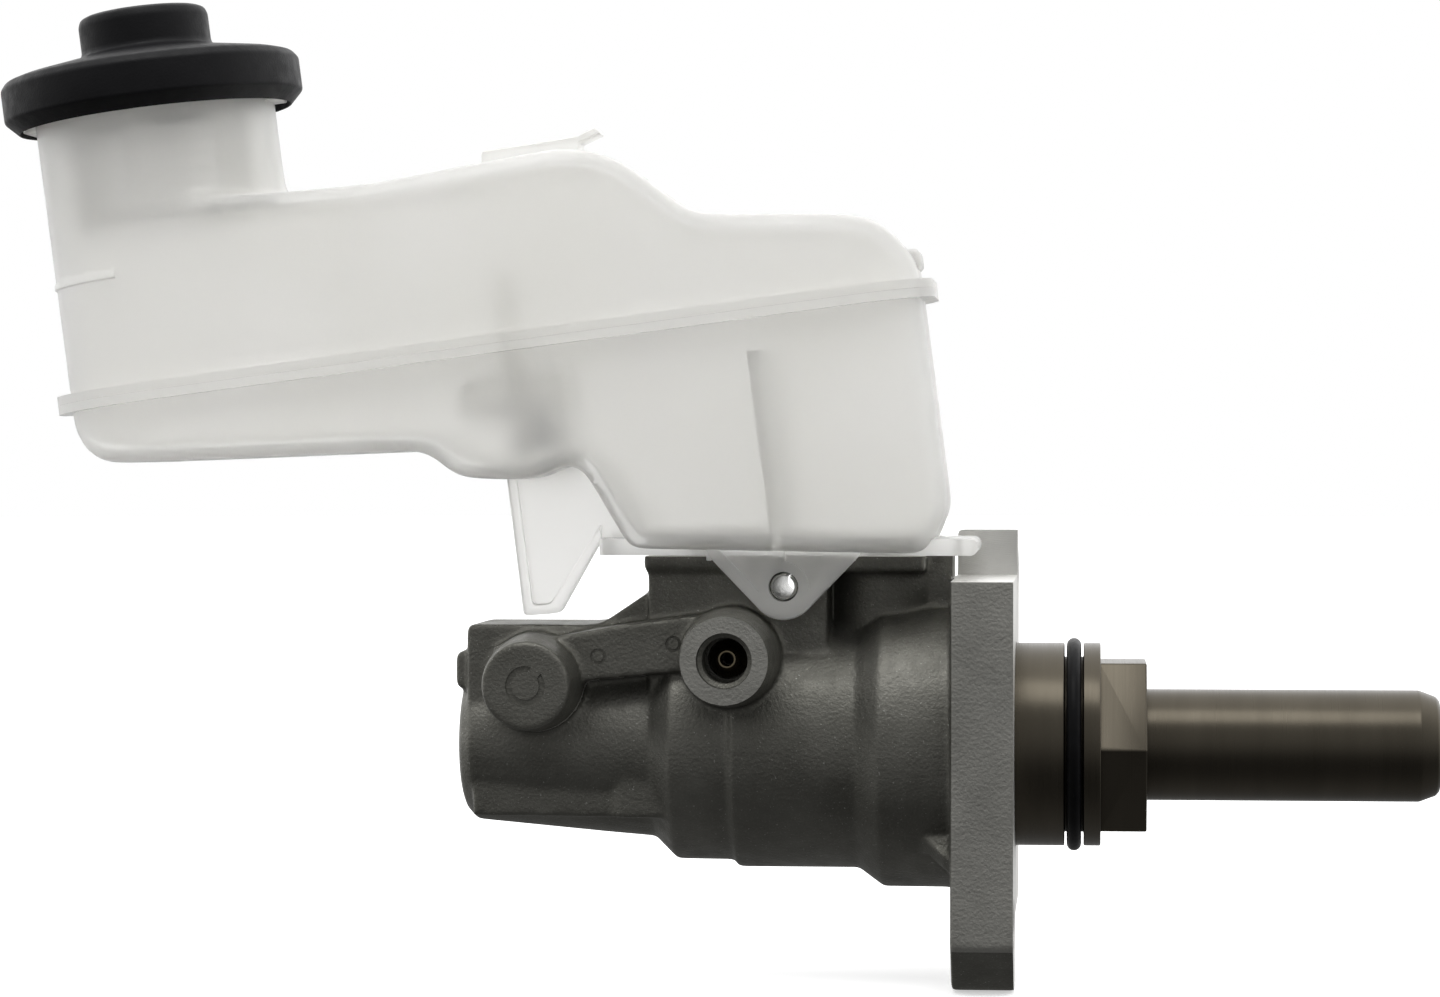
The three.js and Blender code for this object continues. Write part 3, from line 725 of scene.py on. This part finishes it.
def port_cutter(name, matrix, face_y):
    """Hole for the pipe nut: passage, seat, thread (as rings) and mouth."""
    floor = face_y - PORT_DEPTH
    thread = floor + 3.5
    thread_end = face_y - 1.6
    profile = [(9, 0), (9, PORT_PASSAGE_R), (floor, PORT_PASSAGE_R), (floor, PORT_SEAT_R),
               (floor + 2, PORT_SEAT_R), (floor + 2, THREAD_ROOT_R)]
    while thread < thread_end:
        profile += [(thread, THREAD_ROOT_R), (thread + THREAD_PITCH / 2, THREAD_CREST_R)]
        thread += THREAD_PITCH
    profile += [(thread_end, PORT_MOUTH_R - 0.15), (face_y - 0.3, PORT_MOUTH_R),
                (face_y + 2, PORT_MOUTH_R), (face_y + 2, 0)]
    return lathe(name, profile, matrix, 64)


def bore_cutter():
    """Stepped main bore with the grooves of the lip seals and the seat of the sleeve."""
    profile = [(-105.3, 0), (-105.3, 9.5), (-103.3, BORE_R)]
    for start, end in CUP_GROOVES:
        profile += [(start, BORE_R), (start, CUP_GROOVE_R), (end, CUP_GROOVE_R), (end, BORE_R)]
    profile += [(-18, BORE_R), (-18, 17), (-1.2, 17), (-1.2, 20.6), (2, 20.6), (2, 0)]
    return lathe("bore", profile, REARWARD, 96)


def facing_cuts():
    """Blocks that take the casting down to its machined faces."""
    return [
        block("mating_face", (0, -FAR_AWAY, -FAR_AWAY), (FAR_AWAY, FAR_AWAY, FAR_AWAY)),
        block("near_port_face", (-80, -FAR_AWAY, 0), (-30, -REAR_FACE_Y, 40)),
        block("far_port_face", (-112, FRONT_FACE_Y, 0), (-80, FAR_AWAY, 30)),
        block("saddle_top", (-90, -60, TOWER_TOP), (-FLANGE_THICK - 0.3, 60, 60)),
        block("notch", (-FLANGE_THICK - 0.31, -60, FLANGE_SHOULDER), (5, EAR_INNER_Y, 60)),
    ]


def drilled_holes():
    """Pin hole, the two inlets with the drilling under each, and the two stud holes."""
    holes = [rod("pin_hole", -40, 40, PIN_HOLE_R, facing_near(PIN_X, PIN_Z), 48)]
    for x, feed_x in zip(GROMMET_X, SUPPLY_FEED_X):
        holes.append(rod("inlet", 28.3, 60, INLET_R, upright(x), 64))
        holes.append(rod("feed", BORE_R - 2, 29, 1.4, upright(feed_x), 24))
    for side in (-1, 1):
        stud = basis((0, 1, 0), (0, 0, 1), (1, 0, 0), (0, side * STUD_Y, side * STUD_Z))
        holes.append(rod("stud_hole", -40, 5, STUD_R, stud, 64))
    return holes


def pressed_ring(name, x, z, face_y, middle, half_width, depth):
    """Tool for a shallow ring pressed into a face of the near side."""
    ring = [(face_y - depth, middle - half_width), (face_y - depth, middle + half_width),
            (face_y + 1, middle + half_width), (face_y + 1, middle - half_width)]
    return lathe(name, ring, facing_near(x, z), 48)


def pressed_marks():
    """Open ring on the blank boss, and the ejector pins' rings on the gallery ridge."""
    mark = pressed_ring("mark", *FRONT_PORT, FRONT_FACE_Y, 3.3, 0.6, 0.5)
    place = facing_near(*FRONT_PORT) @ Matrix.Rotation(-0.6, 4, "Z")
    cut(mark, block("gap", (-1.1, 1, 0), (1.1, 6, 40), place))
    rings = [pressed_ring("ejector", x, z, GALLERY_Y, 1.3, 0.3, 0.4) for x, z in EJECTOR_MARKS]
    return [mark, *rings]


def is_on(value, plane):
    return abs(value - plane) < 0.03


def is_in_hole(a, b, normal_a, normal_b, radius):
    """Whether a face lies within the radius of a hole's axis and is turned towards it."""
    return math.hypot(a, b) < radius and a * normal_a + b * normal_b < 0


def is_faced(place):
    """Whether a face is on the mating face, the saddle's top or the notch of the flange."""
    in_flange = place.x > -FLANGE_THICK - 0.4
    on_ledge = is_on(place.z, FLANGE_SHOULDER) and place.y < EAR_INNER_Y + 0.1
    on_ear = is_on(place.y, EAR_INNER_Y) and place.z > FLANGE_SHOULDER - 0.1
    return is_on(place.x, 0) or is_on(place.z, TOWER_TOP) or (in_flange and (on_ledge or on_ear))


def is_bored(place, normal):
    """Whether a face is in the main bore, an inlet or a stud hole."""
    outwards = place.y * normal.y + place.z * normal.z
    if math.hypot(place.y, place.z) < 20.7 and outwards < -0.1:
        return place.x > BODY_LOW.x + 6
    in_inlet = place.z > 27 and any(
        is_in_hole(place.x - x, place.y, normal.x, normal.y, INLET_R + 0.1) for x in GROMMET_X)
    in_stud_hole = any(
        is_in_hole(place.y - side * STUD_Y, place.z - side * STUD_Z, normal.y, normal.z, STUD_R + 0.1)
        for side in (-1, 1))
    return in_inlet or in_stud_hole


def is_painted_lit(place, normal):
    """Whether a face gets painted light: the flange's sides and the faces round the outlets, turned
    sideways, take a paler copy of the cast paint.
    """
    on_flange = place.x > -FLANGE_THICK - 0.2 and abs(place.y) > FLANGE_Y - 0.6
    on_near_port = abs(place.y + REAR_FACE_Y) < 0.6 and place.x > -80
    on_far_port = abs(place.y - FRONT_FACE_Y) < 0.6 and place.x < -80
    return abs(normal.y) > 0.6 and (on_flange or on_near_port or on_far_port)


def mark_machined(casting):
    """Gives each face of the body its surface: as cast (0), machined (1) or a paler copy of the cast paint
    as painted light (2).
    """
    for polygon in casting.data.polygons:
        place, normal = polygon.center / MM, polygon.normal
        # The threaded port holes are not counted as bored, so they keep the darker cast paint: painted
        # shade inside these holes.
        if is_faced(place) or is_bored(place, normal):
            polygon.material_index = 1
        elif is_painted_lit(place, normal):
            polygon.material_index = 2


def make_cylinder_body():
    casting = rough_casting()
    cut(casting, *facing_cuts())
    tools = [
        bore_cutter(),
        port_cutter("near_port", facing_near(*REAR_PORT), REAR_FACE_Y),
        port_cutter("far_port", facing_far(*FRONT_PORT), FRONT_FACE_Y),
        *drilled_holes(),
        *pressed_marks(),
    ]
    cut(casting, *tools)
    finish_piece(casting, "housing", "cast_aluminium", "cylinder_body", 30)
    mark_machined(casting)


# ---- Turned parts ----


def soft(profile, radius=0.25, steps=3):
    """Breaks each corner of a turned profile by a small arc; points on the axis stay."""
    eased = []
    count = len(profile)
    for i, (z, r) in enumerate(profile):
        before, after = profile[i - 1], profile[(i + 1) % count]
        if r == 0:
            eased.append((z, r))
            continue
        here = Vector((z, r))
        back, ahead = Vector(before) - here, Vector(after) - here
        reach = min(radius, back.length * 0.45, ahead.length * 0.45)
        start, end = here + back.normalized() * reach, here + ahead.normalized() * reach
        for k in range(steps + 1):
            t = k / steps
            point = start.lerp(here, t).lerp(here.lerp(end, t), t)
            eased.append((point.x, max(point.y, 0.001)))
    return eased


def torus_profile(centre, middle, section):
    """Round section of an O-ring."""
    steps = 20
    return [(centre + section * math.sin(TURN * i / steps), middle + section * math.cos(TURN * i / steps))
            for i in range(steps)]


def turned_piece(name, node, profile, matrix, body, slot, steps=128, ease=0.25):
    """Finished piece of revolution, with its corners eased by a few tenths of a millimetre."""
    piece = lathe(name, soft(profile, ease) if ease else profile, matrix, steps)
    return finish_piece(piece, body, slot, node)


def make_guide_sleeve():
    sleeve = lathe("sleeve_turning", soft([
        (-17.7, BORE_R), (-17.7, 16.7), (-7.4, 16.7), (-7.4, 14.9), (-4.6, 14.9), (-4.6, 16.7),
        (-0.9, 16.7), (-0.9, SPIGOT_R - 0.5), (-0.4, SPIGOT_R), (9.7, SPIGOT_R), (9.7, 17.5), (13.5, 17.5),
        (13.5, SPIGOT_R), (16.9, SPIGOT_R), (16.9, 14), (24, 14), (24, BORE_R)], 0.3), REARWARD, 128)
    across = 16.7 / math.cos(math.pi / 6)
    hexagon = [(across * math.cos(TURN * i / 6), across * math.sin(TURN * i / 6)) for i in range(6)]
    nut = bevel(prism("nut", hexagon, 16.2, SLEEVE_END, REARWARD), 0.35)
    inside = rod("inside", -30, 40, BORE_R, REARWARD, 128)
    mouth = lathe("mouth", [(SLEEVE_END - 1, 0), (SLEEVE_END + 1, 0), (SLEEVE_END + 1, BORE_R + 2),
                            (SLEEVE_END - 1, BORE_R)], REARWARD, 128)
    cup_seat = rod("cup_seat", -14.2, -10.4, 14.6, REARWARD, 96)
    cut(join(sleeve, nut), inside, mouth, cup_seat)
    finish_piece(sleeve, "housing", "anodised_aluminium", "guide_sleeve", 25)


def make_plungers():
    turned_piece("primary_plunger_turning", "primary_piston", [
        (61, 0), (61.1, 1.2), (62, 3.4), (66, 5.2), (PISTON_REAR - 0.8, 5.5), (PISTON_REAR, 6.2),
        (PISTON_REAR, 9.1), (83.3, 9.9), (80, PISTON_R), (-29.2, PISTON_R), (-30, PISTON_R - 0.6),
        (-30, 9), (-8, 9), (-8, 2.2), (-3.6, 2.2), (-3.6, 0)],
        REARWARD, "primary_plunger", "anodised_aluminium", 160)
    turned_piece("secondary_plunger_turning", "secondary_piston", [
        (-66, 0), (-66, 9), (-89, 9), (-89, PISTON_R - 0.6), (-88.2, PISTON_R), (-46.8, PISTON_R),
        (-46, PISTON_R - 0.6), (-46, 0)],
        REARWARD, "secondary_plunger", "anodised_aluminium")


def make_orings():
    for name, node, centre, middle, section in (
        ("spigot_ring", "spigot_oring", 11.6, 19.85, 1.45),
        ("sleeve_ring", "sleeve_oring", -6, 15.95, 0.7),
    ):
        turned_piece(name, node, torus_profile(centre, middle, section), REARWARD, "housing", "rubber",
                     ease=0)


def lip_seal(start, end, outer):
    """Cup with two lips, open towards the pressure side."""
    middle = (BORE_R + outer) / 2
    return [(start, 11.45), (start + 0.1, middle - 0.6), (start + 1.9, middle - 0.3),
            (start + 1.9, middle + 0.3), (start + 0.1, middle + 0.6), (start, outer), (end, outer - 0.2),
            (end, 11.6)]


def make_cups():
    for name, start, end, outer in (
        ("primary_recuperating_cup", -13.9, -10.7, 14.3), ("primary_pressure_cup", -27.9, -24.7, 15.6),
        ("secondary_recuperating_cup", -64.9, -61.7, 15.6),
        ("secondary_pressure_cup", -74.7, -71.5, 15.6),
    ):
        turned_piece(name + "_rubber", name, lip_seal(start, end, outer), REARWARD, "housing", "rubber",
                     64, 0.15)


def make_spring_cage():
    """Thimble on the secondary plunger, and the bolt whose head it holds."""
    front = -45.7
    turned_piece("retainer_thimble", "spring_retainer", [
        (front, 0), (front, 8.5), (front + 1.1, 8.5), (front + 1.1, 4.5), (-24, 4.5), (-24, 2.2),
        (-25, 2.2), (-25, 3.4), (front + 1.4, 3.4), (front + 1.4, 0)],
        REARWARD, "secondary_plunger", "spring_steel", 64, 0.15)
    turned_piece("retainer_screw", "retainer_bolt", [
        (-27.5, 0), (-27.5, 3), (-25.4, 3), (-25.4, 1.85), (-4, 1.85), (-4, 0)],
        REARWARD, "primary_plunger", "spring_steel", 48, 0.15)


def make_tube_seats():
    for name, node, matrix, face_y in (
        ("near_flare_seat", "primary_tube_seat", facing_near(*REAR_PORT), REAR_FACE_Y),
        ("far_flare_seat", "secondary_tube_seat", facing_far(*FRONT_PORT), FRONT_FACE_Y),
    ):
        floor = face_y - PORT_DEPTH + 0.3
        turned_piece(name, node, [(floor, 1.25), (floor, 3.7), (floor + 2, 3.7), (floor + 5.3, 1.9),
                                  (floor + 5.5, 1.75), (floor + 5.5, 1.35), (floor + 5, 1.25)],
                     matrix, "housing", "brass", 48, 0.1)


def make_grommets():
    for name, x in zip(("front_grommet", "rear_grommet"), GROMMET_X):
        turned_piece(name + "_rubber", name, [
            (28.6, 5.5), (28.6, 7.3), (30, 7.9), (32, 7.6), (33, 7.9), (36.8, 7.9), (37.6, 7.4),
            (37.6, 5.5)], upright(x), "housing", "rubber", 64, 0.2)


def make_spring(name, node, start, end, turns, body):
    """Round-wire compression spring with closed ends."""
    wire, radius, around, along = 0.9, 6.6, 10, 28
    closed_share = 0.14         # part of the length that rises evenly, in the closed end turns too
    first, last = start + wire, end - wire
    bm = bmesh.new()
    total = turns * along
    rings = []
    for i in range(total + 1):
        t = i / total
        closing = min(1, max(0, (t * turns - 0.9) / (turns - 1.8)))
        x = first + (last - first) * (closing * (1 - closed_share) + t * closed_share)
        angle = TURN * turns * t
        spoke = Vector((0, math.cos(angle), math.sin(angle)))
        centre = spoke * radius + Vector((x, 0, 0))
        rings.append([
            bm.verts.new(centre + wire * (spoke * math.cos(TURN * k / around)
                                          + Vector((math.sin(TURN * k / around), 0, 0))))
            for k in range(around)
        ])
    for low, high in zip(rings, rings[1:]):
        for k in range(around):
            n = (k + 1) % around
            bm.faces.new((low[k], high[k], high[n], low[n]))
    bm.faces.new(rings[0])
    bm.faces.new(list(reversed(rings[-1])))
    spring = finish_piece(new_object(name, bm), body, "spring_steel", node, 60)
    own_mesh(spring)


def make_springs():
    """Each spring runs the length of its CAD part."""
    low, high = node_box("primary_spring")
    make_spring("primary_coil", "primary_spring", low.x, high.x, 7, "primary_plunger")
    low, high = node_box("secondary_spring")
    make_spring("secondary_coil", "secondary_spring", low.x, high.x, 8, "housing")


def make_retaining_pin():
    """Rolled spring pin: a tube with a slot along it and chamfered ends."""
    half = PIN_HIGH.y - 3
    tube = lathe("rolled_pin", soft([(-half, 2.12), (-half, 2.35), (0.8 - half, 2.6), (half - 0.8, 2.6),
                                     (half, 2.35), (half, 2.12)], 0.1), facing_near(PIN_X, PIN_Z), 64)
    slot = block("slot", (PIN_X + 0.6, -60, PIN_Z + 1), (PIN_X + 1.3, 60, PIN_Z + 4))
    finish_piece(cut(tube, slot), "housing", "spring_steel", "retaining_pin")


# ---- Reservoir ----

WALL = 2.4
HALF_WIDTH = 27.0
NECK_R = 24.4
WELD_GAP = 0.02             # half of the gap between the two halves
WELD_LIP_HALF = 1.8
RAIL_LOW, RAIL_TOP = 38.2, 41.5
SPOUT_BORE_R = 3.4
FLOAT_U = -50               # where the float's post stands along the reservoir
FLOAT_PLACE = RESERVOIR @ Matrix.Translation((FLOAT_U, 0, 0))
SWITCH_PLACE = RESERVOIR @ basis((-1, 0, 0), (0, 0, 1), (0, 1, 0), (FLOAT_U, 0, -19.3))
UPPER_SIDE = [
    (-141.2, -6), (-141.2, 38.0), (-70, 34.9, 60), (-25.3, 37.0, 22), (-8.2, 20.3, 12),
    (27.6, 15.4, 12), (33.9, 6, 5), (33.9, -6),
]
LOWER_SIDE = [
    (-141.0, 6), (-140.1, -12.3, 12), (-66.5, -19, 8), (-61, -25.3, 8), (-46, -27.6, 9),
    (-37, -24.6, 4), (-28.9, -43.5), (28.9, -52, 3), (34.8, -42, 9), (33.9, 6),
]
PLAN = [
    (NECK_U, -NECK_R), (-79, -NECK_R, 14), (-64, -HALF_WIDTH, 14), (-34, -HALF_WIDTH, 8),
    (-24, -HALF_WIDTH + 1.2, 8), (-12, -HALF_WIDTH + 1.2, 8), (0, -HALF_WIDTH, 8),
    (33.9, -HALF_WIDTH, 15), (33.9, HALF_WIDTH, 15), (0, HALF_WIDTH, 8), (-64, HALF_WIDTH, 14),
    (-79, NECK_R, 14), (NECK_U, NECK_R),
]


def inset(corners, distance):
    """Moves each side of an outline inwards, so that a wall keeps an even thickness."""
    area = sum(a[0] * b[1] - b[0] * a[1] for a, b in zip(corners, corners[1:] + corners[:1]))
    turn = 1 if area > 0 else -1
    moved = []
    for i, corner in enumerate(corners):
        here = Vector(corner[:2])
        into = (here - Vector(corners[i - 1][:2])).normalized()
        out = (Vector(corners[(i + 1) % len(corners)][:2]) - here).normalized()
        normals = [Vector((-d.y, d.x)) * turn for d in (into, out)]
        shift = (normals[0] + normals[1]).normalized()
        place = here + shift * distance / shift.dot(normals[1])
        radius = corner[2] if len(corner) > 2 else 0
        if radius:
            convex = into.cross(out) * turn > 0
            radius = max(radius - distance, 0.4) if convex else radius + distance
        moved.append((place.x, place.y, radius))
    return moved


def plan_solid(name, low, high, distance):
    """The reservoir seen from above, its sides moved inwards by the distance."""
    slab = prism(name, inset(PLAN, distance), low, high, RESERVOIR)
    return join(slab, rod("round_end", low, high, NECK_R - distance, NECK, 96))


def chamber(name, side, distance):
    """What the side outline and the outline from above have in common."""
    slab = prism(name, inset(side, distance), -40, 40, RESERVOIR_SIDE)
    return keep_inside(slab, plan_solid("plan", -60, 50, distance))


def vessel(name, distance, rounds):
    """The whole moulding's outside, or its inside when a distance is given, with soft edges."""
    upper = chamber(name, UPPER_SIDE, distance)
    join(upper, chamber("lower_chamber", LOWER_SIDE, distance),
         rod("neck_core", 20, NECK_TOP + 8, NECK_R - distance, NECK, 96))
    return melt(upper, 0.9, rounds)


def half_space(low, high):
    """Everything between two heights above the weld."""
    return block("half_space", (-220, -70, low), (120, 70, high), RESERVOIR)


def weld_lip(low, high):
    """Flange of the weld: its outer edge is rounded away from the weld, where the halves meet."""
    lip = plan_solid("weld_lip", -WELD_LIP_HALF, WELD_LIP_HALF, -2.7)
    bevel(lip, 0.9, 4, 50)
    return keep_inside(lip, half_space(low, high))


def hose_clip():
    """Tab on the top, with a hooked end."""
    outline = [(-107.6, 119.2, 0.8), (-88, 122.2, 1), (-84.6, 124.0, 0.4), (-83.6, 122.8, 0.4),
               (-87.8, 120.9, 0.6), (-88.6, 116), (-107.6, 112)]
    return bevel(prism("clip", outline, -5, 5, SIDEWAYS), 0.3)


def neck_ridge():
    """Low ridge round the front of the neck."""
    ridge = lathe("neck_ridge", [(23.0, NECK_R - 2), (23.0, NECK_R - 0.2), (23.4, NECK_R + 0.3),
                                 (24.2, NECK_R + 0.3), (25.2, NECK_R - 0.2), (25.2, NECK_R - 2)],
                  NECK, 96)
    return keep_inside(ridge, block("front", (-150, -40, 20), (-124, 40, 30), RESERVOIR))


def cap_lugs():
    """Four lugs on the neck, which hold the cap."""
    return [
        bevel(block("lug", (NECK_R - 1, -5.5, 55.9), (NECK_R + 2, 5.5, 57.7),
                    NECK @ Matrix.Rotation(TURN * k / 4, 4, "Z")), 0.35)
        for k in range(4)
    ]


def make_reservoir_upper(outside, inside):
    shell = clone(outside, "reservoir_upper_shell")
    keep_inside(shell, half_space(WELD_GAP, NECK_TOP))
    ledge = bevel(block("ledge", (26, -9, 4.2), (34.7, 9, 8.4), RESERVOIR), 1.3)
    join(shell, weld_lip(WELD_GAP, WELD_LIP_HALF), hose_clip(), neck_ridge(), ledge, *cap_lugs())
    cut(shell, clone(inside, "cavity"))
    finish_piece(shell, "housing", "translucent_plastic", "reservoir_upper", 38)


EAR = [(-61.2, 42), (-60.4, 38.4), (PIN_X, 22.6, 6.6), (-30.2, 38.4), (-29.4, 42)]


def span(side, inner, outer):
    """Low and high y of a stretch on one side (-1 or 1) of the middle plane."""
    return sorted((side * inner, side * outer))


def bracket_ear(side):
    """V-shaped ear with a raised border, and a ring round the pin hole."""
    plate = bevel(prism("ear", EAR, *span(side, 19.5, 22.5), SIDEWAYS), 0.4)
    hollow = prism("hollow", inset(EAR, 2.4), *span(side, 21.3, 30), SIDEWAYS)
    cut(hollow, rod("ring", -40, 40, 4.9, facing_near(PIN_X, PIN_Z), 48))
    return cut(plate, hollow)


def rail_ribs():
    """Three small ribs on each side, between the rail and the chamber."""
    ribs = []
    for x in (-60.0, PIN_X, -31.6):
        for side in (-1, 1):
            low, high = span(side, 19.6, 22.4)
            ribs.append(bevel(block("rib", (x - 0.5, low, 37.2), (x + 0.5, high, 43)), 0.2))
    return ribs


def mounting_rail():
    """Flat rail under the chamber. It rests on the saddle and passes through the flange's notch."""
    end = node_box("reservoir_lower")[1].x
    plan = [(-82, -20, 1), (end, -20, 4), (end, 15.4, 2), (-12.9, 15.4), (-12.9, 20), (-82, 20, 1)]
    side = [(-84, RAIL_LOW), (end, RAIL_LOW, 1.6), (end, RAIL_TOP, 1.6), (-84, RAIL_TOP)]
    rail = keep_inside(prism("rail", plan, 37, 43, WORLD), prism("side", side, -30, 30, SIDEWAYS))
    return bevel(rail, 0.4)


def gusset_parts():
    """Thin plate between the chamber's waist and the rail, and the rib along its edge."""
    edge = [(-101.8, 56), (-98.1, 25.8, 1), (-90.8, 26.4, 2), (-82.4, 41.4)]
    plate = prism("gusset", [*edge, (-72, 41.4), (-76, 58)], 9.2, 10.8, SIDEWAYS)
    band = [*edge, (-82.6, 44.2), (-92.6, 28.4, 2), (-96.3, 28.0, 1), (-99.8, 56)]
    return [plate, bevel(prism("gusset_rib", band, 7.4, 12.2, SIDEWAYS), 0.35)]


def spouts():
    """Two tubes that push into the grommets."""
    profile = [(30.5, SPOUT_BORE_R), (30.5, 4.8), (31.5, 5.2), (39.5, 5.2), (39.5, SPOUT_BORE_R)]
    return [lathe("spout", soft(profile, 0.2), upright(x), 64) for x in GROMMET_X]


def lower_shell_holes():
    """Bores of the spouts, the pin hole and the pocket of the level switch."""
    holes = [rod("spout_bore", 29, 46, SPOUT_BORE_R, upright(x), 48) for x in GROMMET_X]
    holes.append(rod("pin_hole", -40, 40, PIN_HOLE_R, facing_near(PIN_X, PIN_Z), 48))
    holes.append(rod("switch_hole", 20, 40, 3.8, SWITCH_PLACE, 48))
    return holes


def make_reservoir_lower(outside, inside):
    shell = clone(outside, "reservoir_lower_shell")
    keep_inside(shell, half_space(-70, -WELD_GAP))
    cut(shell, block("under_rail", (-100, -60, 10), (10, 60, RAIL_LOW)))
    join(shell, weld_lip(-WELD_LIP_HALF, -WELD_GAP), mounting_rail(), *gusset_parts(),
         bracket_ear(-1), bracket_ear(1), *rail_ribs())
    cavity = clone(inside, "cavity")
    cut(cavity, block("floor", (-100, -60, 10), (10, 60, RAIL_TOP - 0.2)))
    cut(shell, cavity)
    baffle = block("baffle", (-1, -HALF_WIDTH + 3.2, -50), (1, HALF_WIDTH - 3.2, -8), RESERVOIR)
    post = rod("post", -26, 15, 2, FLOAT_PLACE, 32)
    join(shell, baffle, post, *spouts())
    cut(shell, *lower_shell_holes())
    finish_piece(shell, "housing", "translucent_plastic", "reservoir_lower", 38)


def make_reservoir():
    outside = vessel("vessel_outside", 0, 50)
    inside = vessel("vessel_inside", WALL, 38)
    make_reservoir_upper(outside, inside)
    make_reservoir_lower(outside, inside)
    bpy.data.objects.remove(outside)
    bpy.data.objects.remove(inside)


def make_level_switch():
    """Reed switch pushed in from the far side, with its plug socket."""
    out = HALF_WIDTH + 0.3
    stick = lathe("switch_stick", soft([(4, 0), (4, 2.6), (5, 3.4), (out, 3.4), (out, 6), (out + 3, 6),
                                        (out + 3, 4.6), (out + 12, 4.6), (out + 12, 3.4),
                                        (out + 5, 3.4), (out + 5, 0)], 0.3), SWITCH_PLACE, 64)
    key = bevel(block("key", (-1.2, 3.9, out + 4), (1.2, 5.6, out + 11), SWITCH_PLACE), 0.3)
    join(stick, key)
    finish_piece(stick, "housing", "black_plastic", "level_switch")


def make_float():
    """Fluted float that slides on the post, with a ring magnet in its underside."""
    shape = lathe("float_moulding", soft([
        (-14, 2.6), (-14, 3.6), (-11.4, 3.6), (-11.4, 7), (-14, 7), (-14, 11), (-13, 12), (-7, 12),
        (-6, 11), (-6, 2.6)], 0.3), FLOAT_PLACE, 64)
    flutes = [rod("flute", -20, 0, 1.2, FLOAT_PLACE @ Matrix.Rotation(TURN * k / 8, 4, "Z")
                  @ Matrix.Translation((12.4, 0, 0)), 24) for k in range(8)]
    cut(shape, *flutes)
    finish_piece(shape, "float", "translucent_plastic", "level_float")
    turned_piece("magnet_ring", "float_magnet", [(-13.7, 3.9), (-13.7, 6.7), (-11.7, 6.7), (-11.7, 3.9)],
                 FLOAT_PLACE, "float", "magnet", 48, 0.2)


def make_strainer():
    """Basket with six tall windows, each crossed by fine bars."""
    rim = NECK_TOP + 0.3
    basket = lathe("strainer_basket", soft([
        (34, 0), (34, 18.4), (rim, 18.4), (rim, NECK_R - 0.4), (rim + 0.9, NECK_R - 0.4),
        (rim + 0.9, 17.4), (35.2, 17.4), (35.2, 0)], 0.15), NECK, 96)
    windows = []
    first, pitch, opening = 38, 2.9, 1.9
    for k in range(6):
        turn = NECK @ Matrix.Rotation(TURN * k / 6, 4, "Z")
        for row in range(6):
            low = first + row * pitch
            windows.append(block("window", (14, -6, low), (20, 6, low + opening), turn))
    cut(basket, *windows)
    finish_piece(basket, "housing", "translucent_plastic", "strainer")


def make_cap():
    """Screw cap: domed disc with a raised knob, ribbed underneath."""
    knob_r, rim_r, low, high, top = 13.2, 30.4, 55.6, 66.2, 77.8
    inner_r, web_r, skirt, ceiling = NECK_R + 1.1, 27.2, 58.6, 63.4
    profile = [
        (top, 0), (top, knob_r - 1.8), (top - 0.6, knob_r - 0.5), (top - 1.9, knob_r), (70.6, knob_r),
        (69.9, knob_r + 0.2), (69.4, knob_r + 0.8), (69.0, knob_r + 2.2), (high + 0.6, rim_r - 3.4),
        (high - 0.1, rim_r - 1.1), (high - 1.5, rim_r), (low + 2.6, rim_r), (low + 0.4, rim_r - 2.2),
        (low, rim_r - 2.6), (low, 27.6), (high - 3.4, 27.8), (high - 3.4, web_r - 0.6),
        (skirt, web_r - 0.6), (skirt, inner_r), (ceiling, inner_r), (ceiling, 11.6), (top - 2, 11.6),
        (top - 2, 0),
    ]
    cap = lathe("cap_moulding", soft(profile, 0.5, 4), NECK, 160)
    count = 30
    ribs = [
        block("rib", (web_r - 1, -0.45, skirt + 0.3), (28.4, 0.45, high - 2.9),
              NECK @ Matrix.Rotation(TURN * (k + 0.5) / count, 4, "Z"))
        for k in range(count)
    ]
    join(cap, *ribs)
    finish_piece(cap, "cap", "black_plastic", "filler_cap")


def make_diaphragm():
    turned_piece("diaphragm_rubber", "cap_diaphragm", [
        (57, 0), (57, 6), (54, 7), (54, 11), (61.5, 12.5), (61.5, 24), (63, 24), (63, 11.5),
        (55, 10), (55, 8), (58, 7), (58, 0)], NECK, "diaphragm", "rubber", 96, 0.3)


make_cylinder_body()
make_guide_sleeve()
make_plungers()
make_orings()
make_cups()
make_spring_cage()
make_tube_seats()
make_grommets()
make_springs()
make_retaining_pin()
make_reservoir()
make_level_switch()
make_float()
make_strainer()
make_cap()
make_diaphragm()
